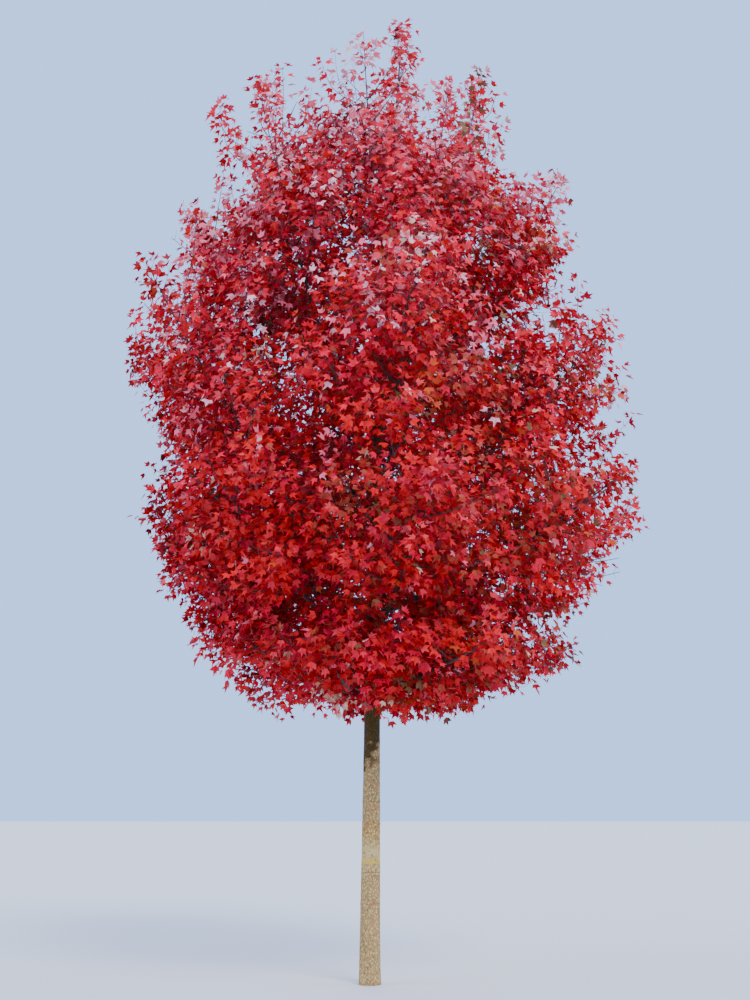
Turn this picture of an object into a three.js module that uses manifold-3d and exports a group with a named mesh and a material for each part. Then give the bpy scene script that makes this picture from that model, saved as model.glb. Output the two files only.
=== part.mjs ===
// A freeman maple in its red autumn leaf: a straight clear stem, a leading shoot, ascending boughs in
// five tiers, and one mass of foliage at the end of each bough. The tree stands on z = 0, with the
// middle of its stem's foot at the origin and +Z up. Sizes are in millimetres and angles in degrees.
import * as THREE from "three";
import { mergeVertices } from "three/addons/utils/BufferGeometryUtils.js";
import Module from "manifold-3d";

const wasm = await Module();
wasm.setup();

// The whole tree
const TREE_HEIGHT = 9780;
const TIP_SHIFT = 340; // the top stands this far to the right of the foot
const TIP_BEND = 2.2; // the power of the height by which the stem goes over to it
const SWAY = { reach: 9, along: 9.5, across: 7.1 }; // how far the stem wanders, and how often, in radians
const CLEARANCE = 0.3; // between pieces that meet

// The crown's outline: an egg near the stem's own line
const CROWN_FOOT = 2330;
const CROWN_WAIST = 5150;
const CROWN_TOP = 9830;
const CROWN_REACH = 2540;
const UPPER_OUTLINE = { power: 2.1, bend: 0.66 };
const LOWER_OUTLINE = { power: 3, bend: 0.75 };
// The crown's middle stands to the right of the stem low down and to the left higher up. The shift
// fades out over the last stretch below the top.
const CROWN_SHIFT = { low: 270, high: -250, from: 5100, to: 6300, fade: 900 };
const SIDE_LIMIT = 0.95; // side twigs stop at this share of the outline, so that leading shoots stand out

// The stem
const STEM_RADIUS = 95;
const STEM_TAPER = { power: 0.95, end: 9580 };
const STEM_END = 7750; // where the leading shoot takes over
const FLARE = { swell: 7, height: 130, ribs: 5, ribDepth: 4 };
const STEM_SIDES = 16;
const STEM_RINGS = 16;
const RING_CROWDING = 1.35; // rings stand closer towards the foot

// Each tier of boughs: the heights between which they leave the stem, the height of their tips, how
// far the tier is turned, how much of each limb is bare bough, how much of the outline's radius it
// reaches, and how long its first side twigs are
const TIERS = [
  { name: "skirt", count: 6, fork: [2500, 2820], tip: 3270, turn: 53, bare: 0.16, reach: 1, spread: 1000 },
  { name: "lower", count: 7, fork: [2850, 3500], tip: 4540, turn: 20, bare: 0.34, reach: 1.01, spread: 1200 },
  { name: "mid", count: 6, fork: [3700, 4500], tip: 6200, turn: 42, bare: 0.38, reach: 1.02, spread: 1200 },
  { name: "upper", count: 6, fork: [4750, 5600], tip: 7980, turn: 55, bare: 0.4, reach: 1.03, spread: 1000 },
  { name: "top", count: 4, fork: [5900, 6800], tip: 9050, turn: 3, bare: 0.42, reach: 1.08, spread: 700 },
];
const LEADER = { name: "leader", spread: 520 };
const TIP_SCATTER = 270; // how much the tips of one tier differ in height
const TURN_SCATTER = 9;
const ELBOW_OUT = 0.56; // a bough's elbow, as a share of its way out and of its way up
const ELBOW_UP = 0.34;
const BOUGH_SHARE = 0.4; // a bough's radius beside the stem's, where it leaves it
const BOUGH_TAPER = 0.9;
const COLLAR = { swell: 0.3, length: 90 };
const TIP_RADIUS = 4;
const BOUGH_SIDES = 6;
const BOUGH_RINGS = 4;

// The wood of a mass: a four-sided stem with a pair of three-sided twigs at every second node
const NODES = 10;
const SHOWN_STEP = 2;
const FIRST_NODE = 0.02;
const NODE_TURN = 45; // from node to node, so the shown pairs are at right angles
const NODE_LENGTH = 34; // the stretch of stem that a pair of twigs grows from
const STEM_CORNERS = [-45, 45, 135, 225];
const TWIG_CORNERS = [90, 210, 330];
const END_STRETCH = { twig: 110, leaf: 380 }; // a mass's stem ends in a short twig and its end leaf
const TWIG_ANGLE = { least: 44, range: 22 };
const ROLL_SCATTER = 30;
const TWIG_STRIDE = 60; // a growing twig bends a little at each stride
const TWIG_LIFT = 0.035;
const LEAST_TWIG = 240;
const TWIG_ROOT = 70; // a twig has its own section from here on
const TWIG_RADIUS = { root: 0.011, least: 9, tip: 8 };
const TAPER_OFF = { least: 0.4, power: 0.75 }; // side twigs shorten towards the mass's tip
const TWIG_LUCK = [0.86, 1.12]; // the range of twig lengths

// The leaves, each of which stands for a spray of real ones
const LEAF = { length: 560, width: 0.8, shoulder: 0.52, lean: 58, twist: 20 };
const LEAF_LUCK = [0.85, 1.1];
const LEAF_BASE = 26; // the length of twig that a leaf grows from
const LEAF_STEP = 250; // between pairs of leaves along a twig
const END_LEAF = 0.55; // the share of its length by which an end leaf replaces the last of its twig
const LEAF_TRIES = [1, 0.82, 0.66, 0.52, 0.4];
const POSE_TRIES = [[0, 30], [14, 30], [-7, 30], [0, 0], [0, 48], [14, -10]]; // more lean, and tilt
const LEAF_ROOM = 0.2; // leaves of one mass stay this share of their lengths apart, middle to middle
const LEAF_ROOT = 0.06; // the share of a leaf, from its base, that may meet its neighbours
const OWN_TWIG_FREE = 100; // a leaf keeps clear of its own twig beyond this distance
const LEAF_LIMIT = 1.02; // the share of the outline that a leaf's tip may reach
const TIP_LIMIT = 1.12;
const BODY_GAP = 5; // between the leaves and twigs of one mass
const CELL_MARGIN = 26;
const LIMB_MARGIN = 22;
const STEM_SAMPLES = 9; // points along each mass's stem and each limb, by which space is shared out
const LIMB_SAMPLES = 28;
const TRUNK_SAMPLES = 84;

const UP = new THREE.Vector3(0, 0, 1);
const radians = THREE.MathUtils.degToRad;
const mix = THREE.MathUtils.lerp;

// A number from 0 to 1 that depends only on its keys, so that one twig's luck never changes another's
const HASH = { seed: 2166136261, first: 16777619, second: 2246822519 };
const LUCK = { height: 379, turn: 2, angle: 3, roll: 4, length: 5, leafLength: 6, leafTwist: 7 };
function chance(...keys) {
  let hash = HASH.seed;
  for (const key of keys) {
    hash = Math.imul(hash ^ key, HASH.first);
    hash = Math.imul(hash ^ (hash >>> 15), HASH.second);
    hash ^= hash >>> 13;
  }
  return (hash >>> 0) / 2 ** 32;
}

// The stem's line and thickness
function stemCentre(height) {
  const share = height / TREE_HEIGHT;
  const x = TIP_SHIFT * share ** TIP_BEND + SWAY.reach * Math.sin(share * SWAY.along);
  return new THREE.Vector3(x, SWAY.reach * Math.sin(share * SWAY.across), height);
}

function stemRadius(height) {
  return STEM_RADIUS * Math.max(1 - height / STEM_TAPER.end, 0) ** STEM_TAPER.power + TIP_RADIUS;
}

function stemSkin(height, angle) {
  const fade = Math.exp(-height / FLARE.height);
  return stemRadius(height) + fade * (FLARE.swell + FLARE.ribDepth * Math.cos(FLARE.ribs * angle));
}

// The crown's middle at a height
function crownCentre(height) {
  const { low, high, from, to, fade } = CROWN_SHIFT;
  const within = (share) => THREE.MathUtils.clamp(share, 0, 1);
  const centre = stemCentre(height);
  centre.x += mix(low, high, within((height - from) / (to - from))) * within((CROWN_TOP - height) / fade);
  return centre;
}

// The crown's radius at a height
function outline(height) {
  const above = height > CROWN_WAIST;
  const shape = above ? UPPER_OUTLINE : LOWER_OUTLINE;
  const depth = above ? CROWN_TOP - CROWN_WAIST : CROWN_WAIST - CROWN_FOOT;
  const share = Math.abs(height - CROWN_WAIST) / depth;
  return share < 1 ? CROWN_REACH * (1 - share ** shape.power) ** shape.bend : 0;
}

// A closed tapering limb. A cylinder's vertices are moved onto the path, ring by ring.
function limbGeometry(pathAt, sideAt, radiusAt, sides, rings) {
  const geometry = new THREE.CylinderGeometry(1, 1, 1, sides, rings);
  const place = geometry.getAttribute("position");
  const step = 1 / (rings * 8);
  for (let i = 0; i < place.count; i++) {
    const share = place.getY(i) + 0.5;
    const from = pathAt(Math.max(share - step, 0));
    const along = pathAt(Math.min(share + step, 1)).sub(from).normalize();
    const side = sideAt(share).clone();
    side.addScaledVector(along, -side.dot(along)).normalize();
    const across = side.clone().cross(along);
    const radius = radiusAt(share, Math.atan2(place.getZ(i), place.getX(i)));
    const point = pathAt(share);
    point.addScaledVector(side, place.getX(i) * radius).addScaledVector(across, place.getZ(i) * radius);
    place.setXYZ(i, point.x, point.y, point.z);
  }
  return geometry;
}

// A closed geometry as a solid that can be joined and cut, and back again
function solidOf(geometry) {
  geometry.deleteAttribute("normal");
  geometry.deleteAttribute("uv");
  const merged = mergeVertices(geometry, 1e-4);
  const mesh = { numProp: 3, vertProperties: merged.getAttribute("position").array };
  return new wasm.Manifold(new wasm.Mesh({ ...mesh, triVerts: new Uint32Array(merged.index.array) }));
}

function geometryOf(solid) {
  const mesh = solid.getMesh();
  const geometry = new THREE.BufferGeometry();
  geometry.setAttribute("position", new THREE.BufferAttribute(new Float32Array(mesh.vertProperties), 3));
  geometry.setIndex(new THREE.BufferAttribute(new Uint32Array(mesh.triVerts), 1));
  return geometry;
}

// The largest closed skin of a solid, without loose scraps or sealed hollows
function wholeOf(solid) {
  return solid.decompose().reduce((best, piece) => (piece.volume() > best.volume() ? piece : best));
}

// Each limb is one bend from the stem to a tip on the crown's outline: a bare bough, then the stem of
// the mass that the bough carries.
function planLimbs() {
  const limbs = [];
  for (const tier of TIERS) {
    for (let place = 0; place < tier.count; place++) {
      const index = limbs.length;
      const order = (place * 2) % tier.count; // neighbours round the stem leave it at different heights
      const start = stemCentre(mix(...tier.fork, order / (tier.count - 1)));
      const tipHeight = tier.tip + TIP_SCATTER * (chance(index, LUCK.height) - 0.5) * 2;
      const scatter = TURN_SCATTER * (chance(index, LUCK.turn) - 0.5) * 2;
      const turn = radians(tier.turn + (360 * place) / tier.count + scatter);
      const reach = outline(tipHeight) * tier.reach;
      const outward = new THREE.Vector3(Math.cos(turn), Math.sin(turn), 0);
      const tip = crownCentre(tipHeight).addScaledVector(outward, reach);
      const elbow = start.clone().lerp(tip, ELBOW_OUT);
      elbow.z = mix(start.z, tip.z, ELBOW_UP);
      limbs.push({
        index,
        name: `${tier.name}_${place + 1}`,
        curve: new THREE.QuadraticBezierCurve3(start, elbow, tip),
        side: new THREE.Vector3(-outward.y, outward.x, 0),
        rootRadius: stemRadius(start.z) * BOUGH_SHARE,
        from: tier.bare,
        spread: tier.spread,
      });
    }
  }
  const base = stemCentre(STEM_END);
  const top = stemCentre(TREE_HEIGHT);
  limbs.push({
    index: limbs.length,
    name: LEADER.name,
    curve: new THREE.QuadraticBezierCurve3(base, base.clone().lerp(top, 0.5), top),
    side: new THREE.Vector3(0, 1, 0),
    rootRadius: stemRadius(STEM_END),
    from: 0,
    spread: LEADER.spread,
  });
  return limbs;
}

function limbRadius(limb, share) {
  const collar = limb.from ? COLLAR.swell * Math.exp((-share * limb.curve.getLength()) / COLLAR.length) : 0;
  return TIP_RADIUS + limb.rootRadius * (1 - share) ** BOUGH_TAPER * (1 + collar);
}

function limbPoint(limb, share) {
  return limb.curve.getPoint(share);
}

function massPoint(limb, share) {
  return limbPoint(limb, mix(limb.from, 1, share));
}

const limbs = planLimbs();

// What each twig and leaf has to keep clear of: the other masses' stems, and every bare limb
const massStems = limbs.map((limb) =>
  Array.from({ length: STEM_SAMPLES }, (_, i) => massPoint(limb, i / (STEM_SAMPLES - 1))),
);
const bareLimbs = limbs.filter((limb) => limb.from > 0).flatMap((limb) =>
  Array.from({ length: LIMB_SAMPLES }, (_, i) => {
    const share = (limb.from * i) / (LIMB_SAMPLES - 1);
    return { centre: limbPoint(limb, share), radius: limbRadius(limb, share) };
  }),
);
for (let i = 0; i < TRUNK_SAMPLES; i++) {
  const height = (STEM_END * i) / (TRUNK_SAMPLES - 1);
  bareLimbs.push({ centre: stemCentre(height), radius: stemRadius(height) + FLARE.swell });
}

function distanceToStem(point, mass) {
  return Math.min(...massStems[mass].map((sample) => sample.distanceTo(point)));
}

// Whether a point is in a mass's own space: nearer to its stem than to any other, within a share of
// the crown's outline, and off the bare limbs
function inSpace(point, mass, allowed) {
  const centre = crownCentre(point.z);
  if (Math.hypot(point.x - centre.x, point.y - centre.y) > outline(point.z) * allowed) return false;
  const own = distanceToStem(point, mass) + CELL_MARGIN;
  if (massStems.some((_, other) => other !== mass && distanceToStem(point, other) < own)) return false;
  return bareLimbs.every((limb) => limb.centre.distanceTo(point) > limb.radius + LIMB_MARGIN);
}

// A twig grows stride by stride, lifting a little, until it is as long as it wants to be or would
// leave its space. It returns the points that it passed.
function growTwig(mass, start, direction, wanted) {
  const points = [start.clone()];
  const heading = direction.clone();
  const strides = Math.floor(wanted / TWIG_STRIDE);
  for (let i = 0; i < strides; i++) {
    heading.addScaledVector(UP, TWIG_LIFT).normalize();
    const next = points[points.length - 1].clone().addScaledVector(heading, TWIG_STRIDE);
    if (i > 1 && !inSpace(next, mass, SIDE_LIMIT)) break;
    points.push(next);
  }
  return points;
}

// The direction of a side twig: tilted off the line it grows from, and rolled round that line
function sideways(along, side, angle, roll) {
  const first = side.clone().addScaledVector(along, -side.dot(along)).normalize();
  const across = along.clone().cross(first);
  const out = first.multiplyScalar(Math.cos(roll)).addScaledVector(across, Math.sin(roll));
  return along.clone().multiplyScalar(Math.cos(angle)).addScaledVector(out, Math.sin(angle));
}

// The side twigs of a mass: opposite pairs, turning from node to node
function sideTwigs(limb) {
  const twigs = [];
  for (let node = 0; node < NODES; node += SHOWN_STEP) {
    const share = mix(mix(limb.from, 1, FIRST_NODE), endShare(limb), (node + 0.5) / NODES);
    const start = limbPoint(limb, share);
    const along = limb.curve.getTangent(share);
    const left = (1 - share) / (1 - limb.from);
    for (const half of [0, 1]) {
      const key = node * 2 + half;
      const angle = radians(TWIG_ANGLE.least + TWIG_ANGLE.range * chance(limb.index, key, LUCK.angle));
      const scatter = ROLL_SCATTER * (chance(limb.index, key, LUCK.roll) - 0.5);
      const roll = radians(node * NODE_TURN + scatter + half * 180);
      const shorter = TAPER_OFF.least + (1 - TAPER_OFF.least) * left ** TAPER_OFF.power;
      const wanted = limb.spread * shorter * mix(...TWIG_LUCK, chance(limb.index, key, LUCK.length));
      const points = growTwig(limb.index, start, sideways(along, limb.side, angle, roll), wanted);
      const face = (node / SHOWN_STEP + half * 2) % STEM_CORNERS.length;
      if (points.length * TWIG_STRIDE >= LEAST_TWIG) twigs.push(cutBack({ key, share, face, points }));
    }
  }
  return twigs;
}

// Where the end twig of a mass begins on its limb
function endShare(limb) {
  return 1 - (END_STRETCH.twig + END_STRETCH.leaf) / limb.curve.getLength();
}

// A side twig without the stretch that its end leaf stands for
function cutBack(twig) {
  const strides = Math.round((LEAF.length * END_LEAF) / TWIG_STRIDE);
  const points = twig.points.slice(0, Math.max(twig.points.length - strides, 3));
  const length = (points.length - 1) * TWIG_STRIDE;
  return { ...twig, points, length, radius: Math.max(TWIG_RADIUS.least, length * TWIG_RADIUS.root) };
}

// The end of a mass's own stem, as one more twig
function endTwig(limb) {
  const first = endShare(limb);
  const last = 1 - END_STRETCH.leaf / limb.curve.getLength();
  const points = [0, 0.5, 1].map((share) => limbPoint(limb, mix(first, last, share)));
  return { key: NODES * 2, share: first, points, length: END_STRETCH.twig, radius: TWIG_RADIUS.least };
}

function pointAlong(points, share) {
  const place = share * (points.length - 1);
  const i = Math.min(Math.floor(place), points.length - 2);
  return points[i].clone().lerp(points[i + 1], place - i);
}

function directionAlong(points, share) {
  const i = Math.min(Math.floor(share * (points.length - 1)), points.length - 2);
  return points[i + 1].clone().sub(points[i]).normalize();
}

// A cross-section of a mass's stem or of a twig
function section(centre, along, side, radius) {
  const level = side.clone().addScaledVector(along, -side.dot(along)).normalize();
  return { centre, along, side: level, lift: along.clone().cross(level), radius };
}

function stemSection(limb, share) {
  return section(limbPoint(limb, share), limb.curve.getTangent(share), limb.side, limbRadius(limb, share));
}

function twigSection(twig, share) {
  const along = directionAlong(twig.points, share);
  const radius = mix(twig.radius, TWIG_RADIUS.tip, share);
  return section(pointAlong(twig.points, share), along, UP.clone().cross(along), radius);
}

function sectionCorner({ centre, side, lift, radius }, angle) {
  const turn = radians(angle);
  const corner = centre.clone().addScaledVector(side, Math.cos(turn) * radius);
  return corner.addScaledVector(lift, Math.sin(turn) * radius);
}

function sectionCorners(shape, angles = TWIG_CORNERS) {
  return angles.map((angle) => sectionCorner(shape, angle));
}

// A convex stand-in for a stretch of wood or a leaf, by which the others keep clear of it. A leaf has
// a second one without its root, where it meets its partner in a pair.
function bodyOf(owner, points, rootless = points) {
  const sphere = new THREE.Box3().setFromPoints(points).getBoundingSphere(new THREE.Sphere());
  const hull = (corners) => wasm.Manifold.hull(corners.map((point) => point.toArray()));
  return { owner, sphere, whole: hull(points), rootless: hull(rootless) };
}

function touches(body, others) {
  return others.some((other) => {
    const apart = body.sphere.center.distanceTo(other.sphere.center);
    if (apart > body.sphere.radius + other.sphere.radius) return false;
    const near = (a, b) => a.minGap(b, BODY_GAP * 2) < BODY_GAP;
    if (body.owner !== other.owner) return near(body.whole, other.whole);
    return near(body.whole, other.rootless) || near(body.rootless, other.whole);
  });
}

function twigBodies(twig) {
  const count = Math.ceil(twig.length / TWIG_ROOT);
  return Array.from({ length: count }, (_, i) => {
    const ends = [Math.max(i, 0.5) / count, (i + 1) / count];
    return bodyOf(twig, ends.flatMap((share) => sectionCorners(twigSection(twig, share))));
  });
}

function stemBodies(limb) {
  const count = NODES / SHOWN_STEP;
  return Array.from({ length: count }, (_, i) => {
    const ends = [i / count, (i + 1) / count].map((share) => mix(limb.from, endShare(limb), share));
    return bodyOf(limb, ends.flatMap((share) => sectionCorners(stemSection(limb, share), STEM_CORNERS)));
  });
}

// A leaf's blade: its far shoulder, its tip and its near shoulder. It leans off its twig's line
// towards out, and is twisted about its own.
function bladeAt(base, along, out, lean, twist, length) {
  const direction = along.clone().multiplyScalar(Math.cos(lean)).addScaledVector(out, Math.sin(lean));
  const across = along.clone().multiplyScalar(Math.sin(lean)).addScaledVector(out, -Math.cos(lean));
  across.applyAxisAngle(direction, twist);
  const at = (far, wide) =>
    base.clone().addScaledVector(direction, far * length).addScaledVector(across, wide * length);
  const corners = [at(LEAF.shoulder, LEAF.width / 2), at(1, 0), at(LEAF.shoulder, -LEAF.width / 2)];
  const thick = direction.clone().cross(across).multiplyScalar(TWIG_RADIUS.tip);
  const root = [0, 1, -1].map((edge) => at(LEAF_ROOT, (edge * LEAF_ROOT * LEAF.width) / 2 / LEAF.shoulder));
  root.push(root[0].clone().add(thick), root[0].clone().sub(thick));
  return { corners, root, middle: at(0.5, 0), length };
}

// Points over a blade, at which its mass's space is tested
function bladePoints(base, [far, tip, near]) {
  const points = [far, tip, near, base.clone().lerp(tip, 0.5), base.clone().lerp(tip, 0.78)];
  for (const shoulder of [far, near]) {
    points.push(shoulder.clone().lerp(tip, 0.5), shoulder.clone().lerp(base, 0.45));
  }
  return points;
}

// The largest leaf that fits its mass's space, crosses nothing and crowds no leaf already there
function fitLeaf(mass, twig, share, outward, bodies, leaves) {
  const { centre, along, side, lift } = twigSection(twig, share);
  const atEnd = outward === 0;
  const ofStem = twig.face === undefined;
  const keys = [mass, twig.key, Math.round(share * twig.length), outward + 1];
  const luck = mix(...LEAF_LUCK, chance(...keys, LUCK.leafLength));
  const wanted = ofStem ? END_STRETCH.leaf : LEAF.length * luck;
  const twist = radians(LEAF.twist) * (2 * chance(...keys, LUCK.leafTwist) - 1);
  const allowed = ofStem ? TIP_LIMIT : LEAF_LIMIT;
  const others = bodies.filter(
    (other) => other.owner !== twig || other.sphere.center.distanceTo(centre) > OWN_TWIG_FREE,
  );
  const half = LEAF_BASE / 2 / twig.length;
  const base = [share - half, Math.min(share + half, 1)].flatMap((end) =>
    sectionCorners(twigSection(twig, end)),
  );
  for (const scale of LEAF_TRIES) {
    for (const [more, tilt] of POSE_TRIES) {
      const lean = radians((atEnd ? 0 : LEAF.lean) + more);
      const out = side.clone().multiplyScalar(atEnd ? -1 : outward * Math.cos(radians(tilt)));
      if (!atEnd) out.addScaledVector(lift, Math.sin(radians(tilt)));
      const blade = bladeAt(centre, along, out, lean, twist, wanted * scale);
      const crowded = leaves.some(
        (leaf) => leaf.middle.distanceTo(blade.middle) < LEAF_ROOM * (leaf.length + blade.length),
      );
      if (crowded) continue;
      if (!bladePoints(centre, blade.corners).every((point) => inSpace(point, mass, allowed))) continue;
      const rootless = [...blade.corners, ...blade.root];
      const body = bodyOf(`${twig.key} at ${share}`, [...base, ...rootless], rootless);
      if (touches(body, others) || touches(body, leaves.map((leaf) => leaf.body))) continue;
      leaves.push({ ...blade, body });
      return blade.corners;
    }
  }
  return null;
}

// The twigs of a mass that cross none of the others, with their leaves: those at the ends come first
function leafyTwigs(limb) {
  const bodies = stemBodies(limb);
  const twigs = [];
  for (const twig of [endTwig(limb), ...sideTwigs(limb)]) {
    const own = twigBodies(twig);
    if (own.some((body) => touches(body, bodies.filter((other) => other.owner !== limb)))) continue;
    bodies.push(...own);
    twigs.push(twig);
  }
  const leaves = [];
  for (const twig of twigs) twig.end = fitLeaf(limb.index, twig, 1, 0, bodies, leaves);
  for (const twig of twigs) {
    twig.pairs = [];
    for (let back = LEAF_STEP; back < twig.length - TWIG_ROOT - LEAF_BASE; back += LEAF_STEP) {
      const share = 1 - back / twig.length;
      const pair = [-1, 1].map((outward) => fitLeaf(limb.index, twig, share, outward, bodies, leaves));
      if (pair[0] || pair[1]) twig.pairs.unshift({ share, pair });
    }
  }
  return twigs;
}

// A skin is a list of corners and a list of faces, which are turned outward.
function addSection(skin, shape, angles = TWIG_CORNERS) {
  return sectionCorners(shape, angles).map((corner) => skin.corners.push(corner) - 1);
}

// The faces between two sections, apart from those that something grows out of
function addSpan(skin, from, to, growths = {}) {
  for (let face = 0; face < from.length; face++) {
    const next = (face + 1) % from.length;
    const loop = [from[face], from[next], to[next], to[face]];
    if (growths[face]) growths[face](loop);
    else skin.faces.push([loop[0], loop[1], loop[2]], [loop[0], loop[2], loop[3]]);
  }
}

// A leaf out of a face of three or four corners
function addLeaf(skin, loop, blade) {
  const [far, tip, near] = blade.map((corner) => skin.corners.push(corner) - 1);
  const [above, ahead, below, behind] = [...loop].reverse();
  skin.faces.push([below, ahead, far], [ahead, above, far], [below, far, tip], [below, tip, near]);
  skin.faces.push([above, near, tip], [above, tip, far]);
  if (behind === undefined) skin.faces.push([above, below, near]);
  else skin.faces.push([above, behind, near], [behind, below, near]);
}

// The foot of a twig: from a face of four corners to the twig's first section of three, each corner
// of the section joined to those of the face on its own side
function addFoot(skin, loop, ring) {
  const place = (corner) => skin.corners[corner].clone();
  const middle = (corners) =>
    corners.reduce((sum, corner) => sum.add(place(corner)), new THREE.Vector3()).divideScalar(corners.length);
  const top = place(ring[0]).sub(middle(ring)).normalize();
  const centre = middle(loop);
  const along = middle(ring).sub(centre).normalize();
  const match = (turn) => {
    const edge = middle([loop[turn], loop[(turn + 1) % 4]]).sub(centre);
    return edge.addScaledVector(along, -edge.dot(along)).normalize().dot(top);
  };
  const turn = [0, 1, 2, 3].reduce((best, next) => (match(next) > match(best) ? next : best));
  const [a, b, c, d] = [...loop.slice(turn), ...loop.slice(0, turn)];
  const [first, second, third] = ring;
  skin.faces.push([a, b, first], [b, second, first], [b, c, second], [c, third, second]);
  skin.faces.push([c, d, third], [d, first, third], [d, a, first]);
}

function addTwig(skin, loop, twig) {
  let ring = addSection(skin, twigSection(twig, TWIG_ROOT / twig.length));
  addFoot(skin, loop, ring);
  const half = LEAF_BASE / 2 / twig.length;
  for (const { share, pair } of twig.pairs) {
    const before = addSection(skin, twigSection(twig, share - half));
    const after = addSection(skin, twigSection(twig, share + half));
    addSpan(skin, ring, before);
    const growths = {};
    if (pair[0]) growths[0] = (face) => addLeaf(skin, face, pair[0]);
    if (pair[1]) growths[2] = (face) => addLeaf(skin, face, pair[1]);
    addSpan(skin, before, after, growths);
    ring = after;
  }
  const end = addSection(skin, twigSection(twig, 1));
  addSpan(skin, ring, end);
  if (twig.end) addLeaf(skin, [end[1], end[2], end[0]], twig.end);
  else skin.faces.push(end);
}

// The gap before a mass, as a share of its limb's length. The leader stands a little askew on the
// stem's end, so its gap is wider.
function gapShare(limb) {
  return (limb.from ? CLEARANCE : CLEARANCE * 2) / limb.curve.getLength();
}

// The stem, or with some room the solid that cuts the boughs' roots to its skin
function stemSolid(room) {
  const height = (share) => STEM_END * share ** RING_CROWDING;
  const path = (share) => stemCentre(height(share));
  const skin = (share, angle) => stemSkin(height(share), angle) + room;
  const geometry = limbGeometry(path, () => new THREE.Vector3(0, 1, 0), skin, STEM_SIDES, STEM_RINGS);
  const place = geometry.getAttribute("position");
  for (let i = 0; i < place.count; i++) {
    if (place.getZ(i) < FLARE.height / 4) place.setZ(i, 0); // the foot is a flat, level cut
  }
  return solidOf(geometry);
}

function boughSolid(limb, cutter) {
  const path = (share) => limbPoint(limb, limb.from * share);
  const radius = (share) => limbRadius(limb, limb.from * share);
  const whole = solidOf(limbGeometry(path, () => limb.side, radius, BOUGH_SIDES, BOUGH_RINGS));
  return wholeOf(whole.subtract(cutter));
}

// A mass is one skin: its stem, with twigs growing out of its faces and leaves out of theirs.
function massSolid(limb) {
  const skin = { corners: [], faces: [] };
  const twigs = leafyTwigs(limb);
  const end = twigs.find((twig) => twig.face === undefined);
  let ring = addSection(skin, stemSection(limb, limb.from + gapShare(limb)), STEM_CORNERS);
  const [a, b, c, d] = ring;
  skin.faces.push([c, b, a], [d, c, a]);
  const half = NODE_LENGTH / 2 / limb.curve.getLength();
  const shares = [...new Set(twigs.filter((twig) => twig !== end).map((twig) => twig.share))];
  for (const share of shares) {
    const before = addSection(skin, stemSection(limb, share - half), STEM_CORNERS);
    const after = addSection(skin, stemSection(limb, share + half), STEM_CORNERS);
    addSpan(skin, ring, before);
    const growths = {};
    for (const twig of twigs) {
      if (twig.share === share && twig !== end) growths[twig.face] = (loop) => addTwig(skin, loop, twig);
    }
    addSpan(skin, before, after, growths);
    ring = after;
  }
  const last = addSection(skin, stemSection(limb, end.share), STEM_CORNERS);
  addSpan(skin, ring, last);
  addTwig(skin, last, end);
  const geometry = new THREE.BufferGeometry().setFromPoints(skin.corners);
  geometry.setIndex(skin.faces.flat());
  return solidOf(geometry);
}

const BARK = new THREE.MeshStandardMaterial({ color: 0x9a9082, roughness: 0.9, metalness: 0 });
const BOUGH_BARK = new THREE.MeshStandardMaterial({ color: 0x77706a, roughness: 0.9, metalness: 0 });
const FOLIAGE = new THREE.MeshStandardMaterial({ color: 0xb01024, roughness: 0.6, metalness: 0 });

function named(name, solid, material) {
  const mesh = new THREE.Mesh(geometryOf(solid), material);
  mesh.name = name;
  return mesh;
}

const tree = new THREE.Group();
tree.add(named("trunk", stemSolid(0), BARK));
const cutter = stemSolid(CLEARANCE * 1.5);
for (const limb of limbs) {
  if (limb.from > 0) tree.add(named(`bough_${limb.name}`, boughSolid(limb, cutter), BOUGH_BARK));
  tree.add(named(`foliage_${limb.name}`, massSolid(limb), FOLIAGE));
}

export default tree;
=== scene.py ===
"""The looks of a freeman maple in its red autumn leaf, grown over the packed solids of the tree.

The bark of the stem and boughs gets its relief and finish, and each mass of foliage is replaced by
twigs and leaves that grow on from its limb by the same rule as the solids, carried to finer twigs.
Sizes are in metres in the frame of the solids: the stem's foot at the origin, +Z up."""
import math
from functools import cache
from typing import NamedTuple

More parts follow.
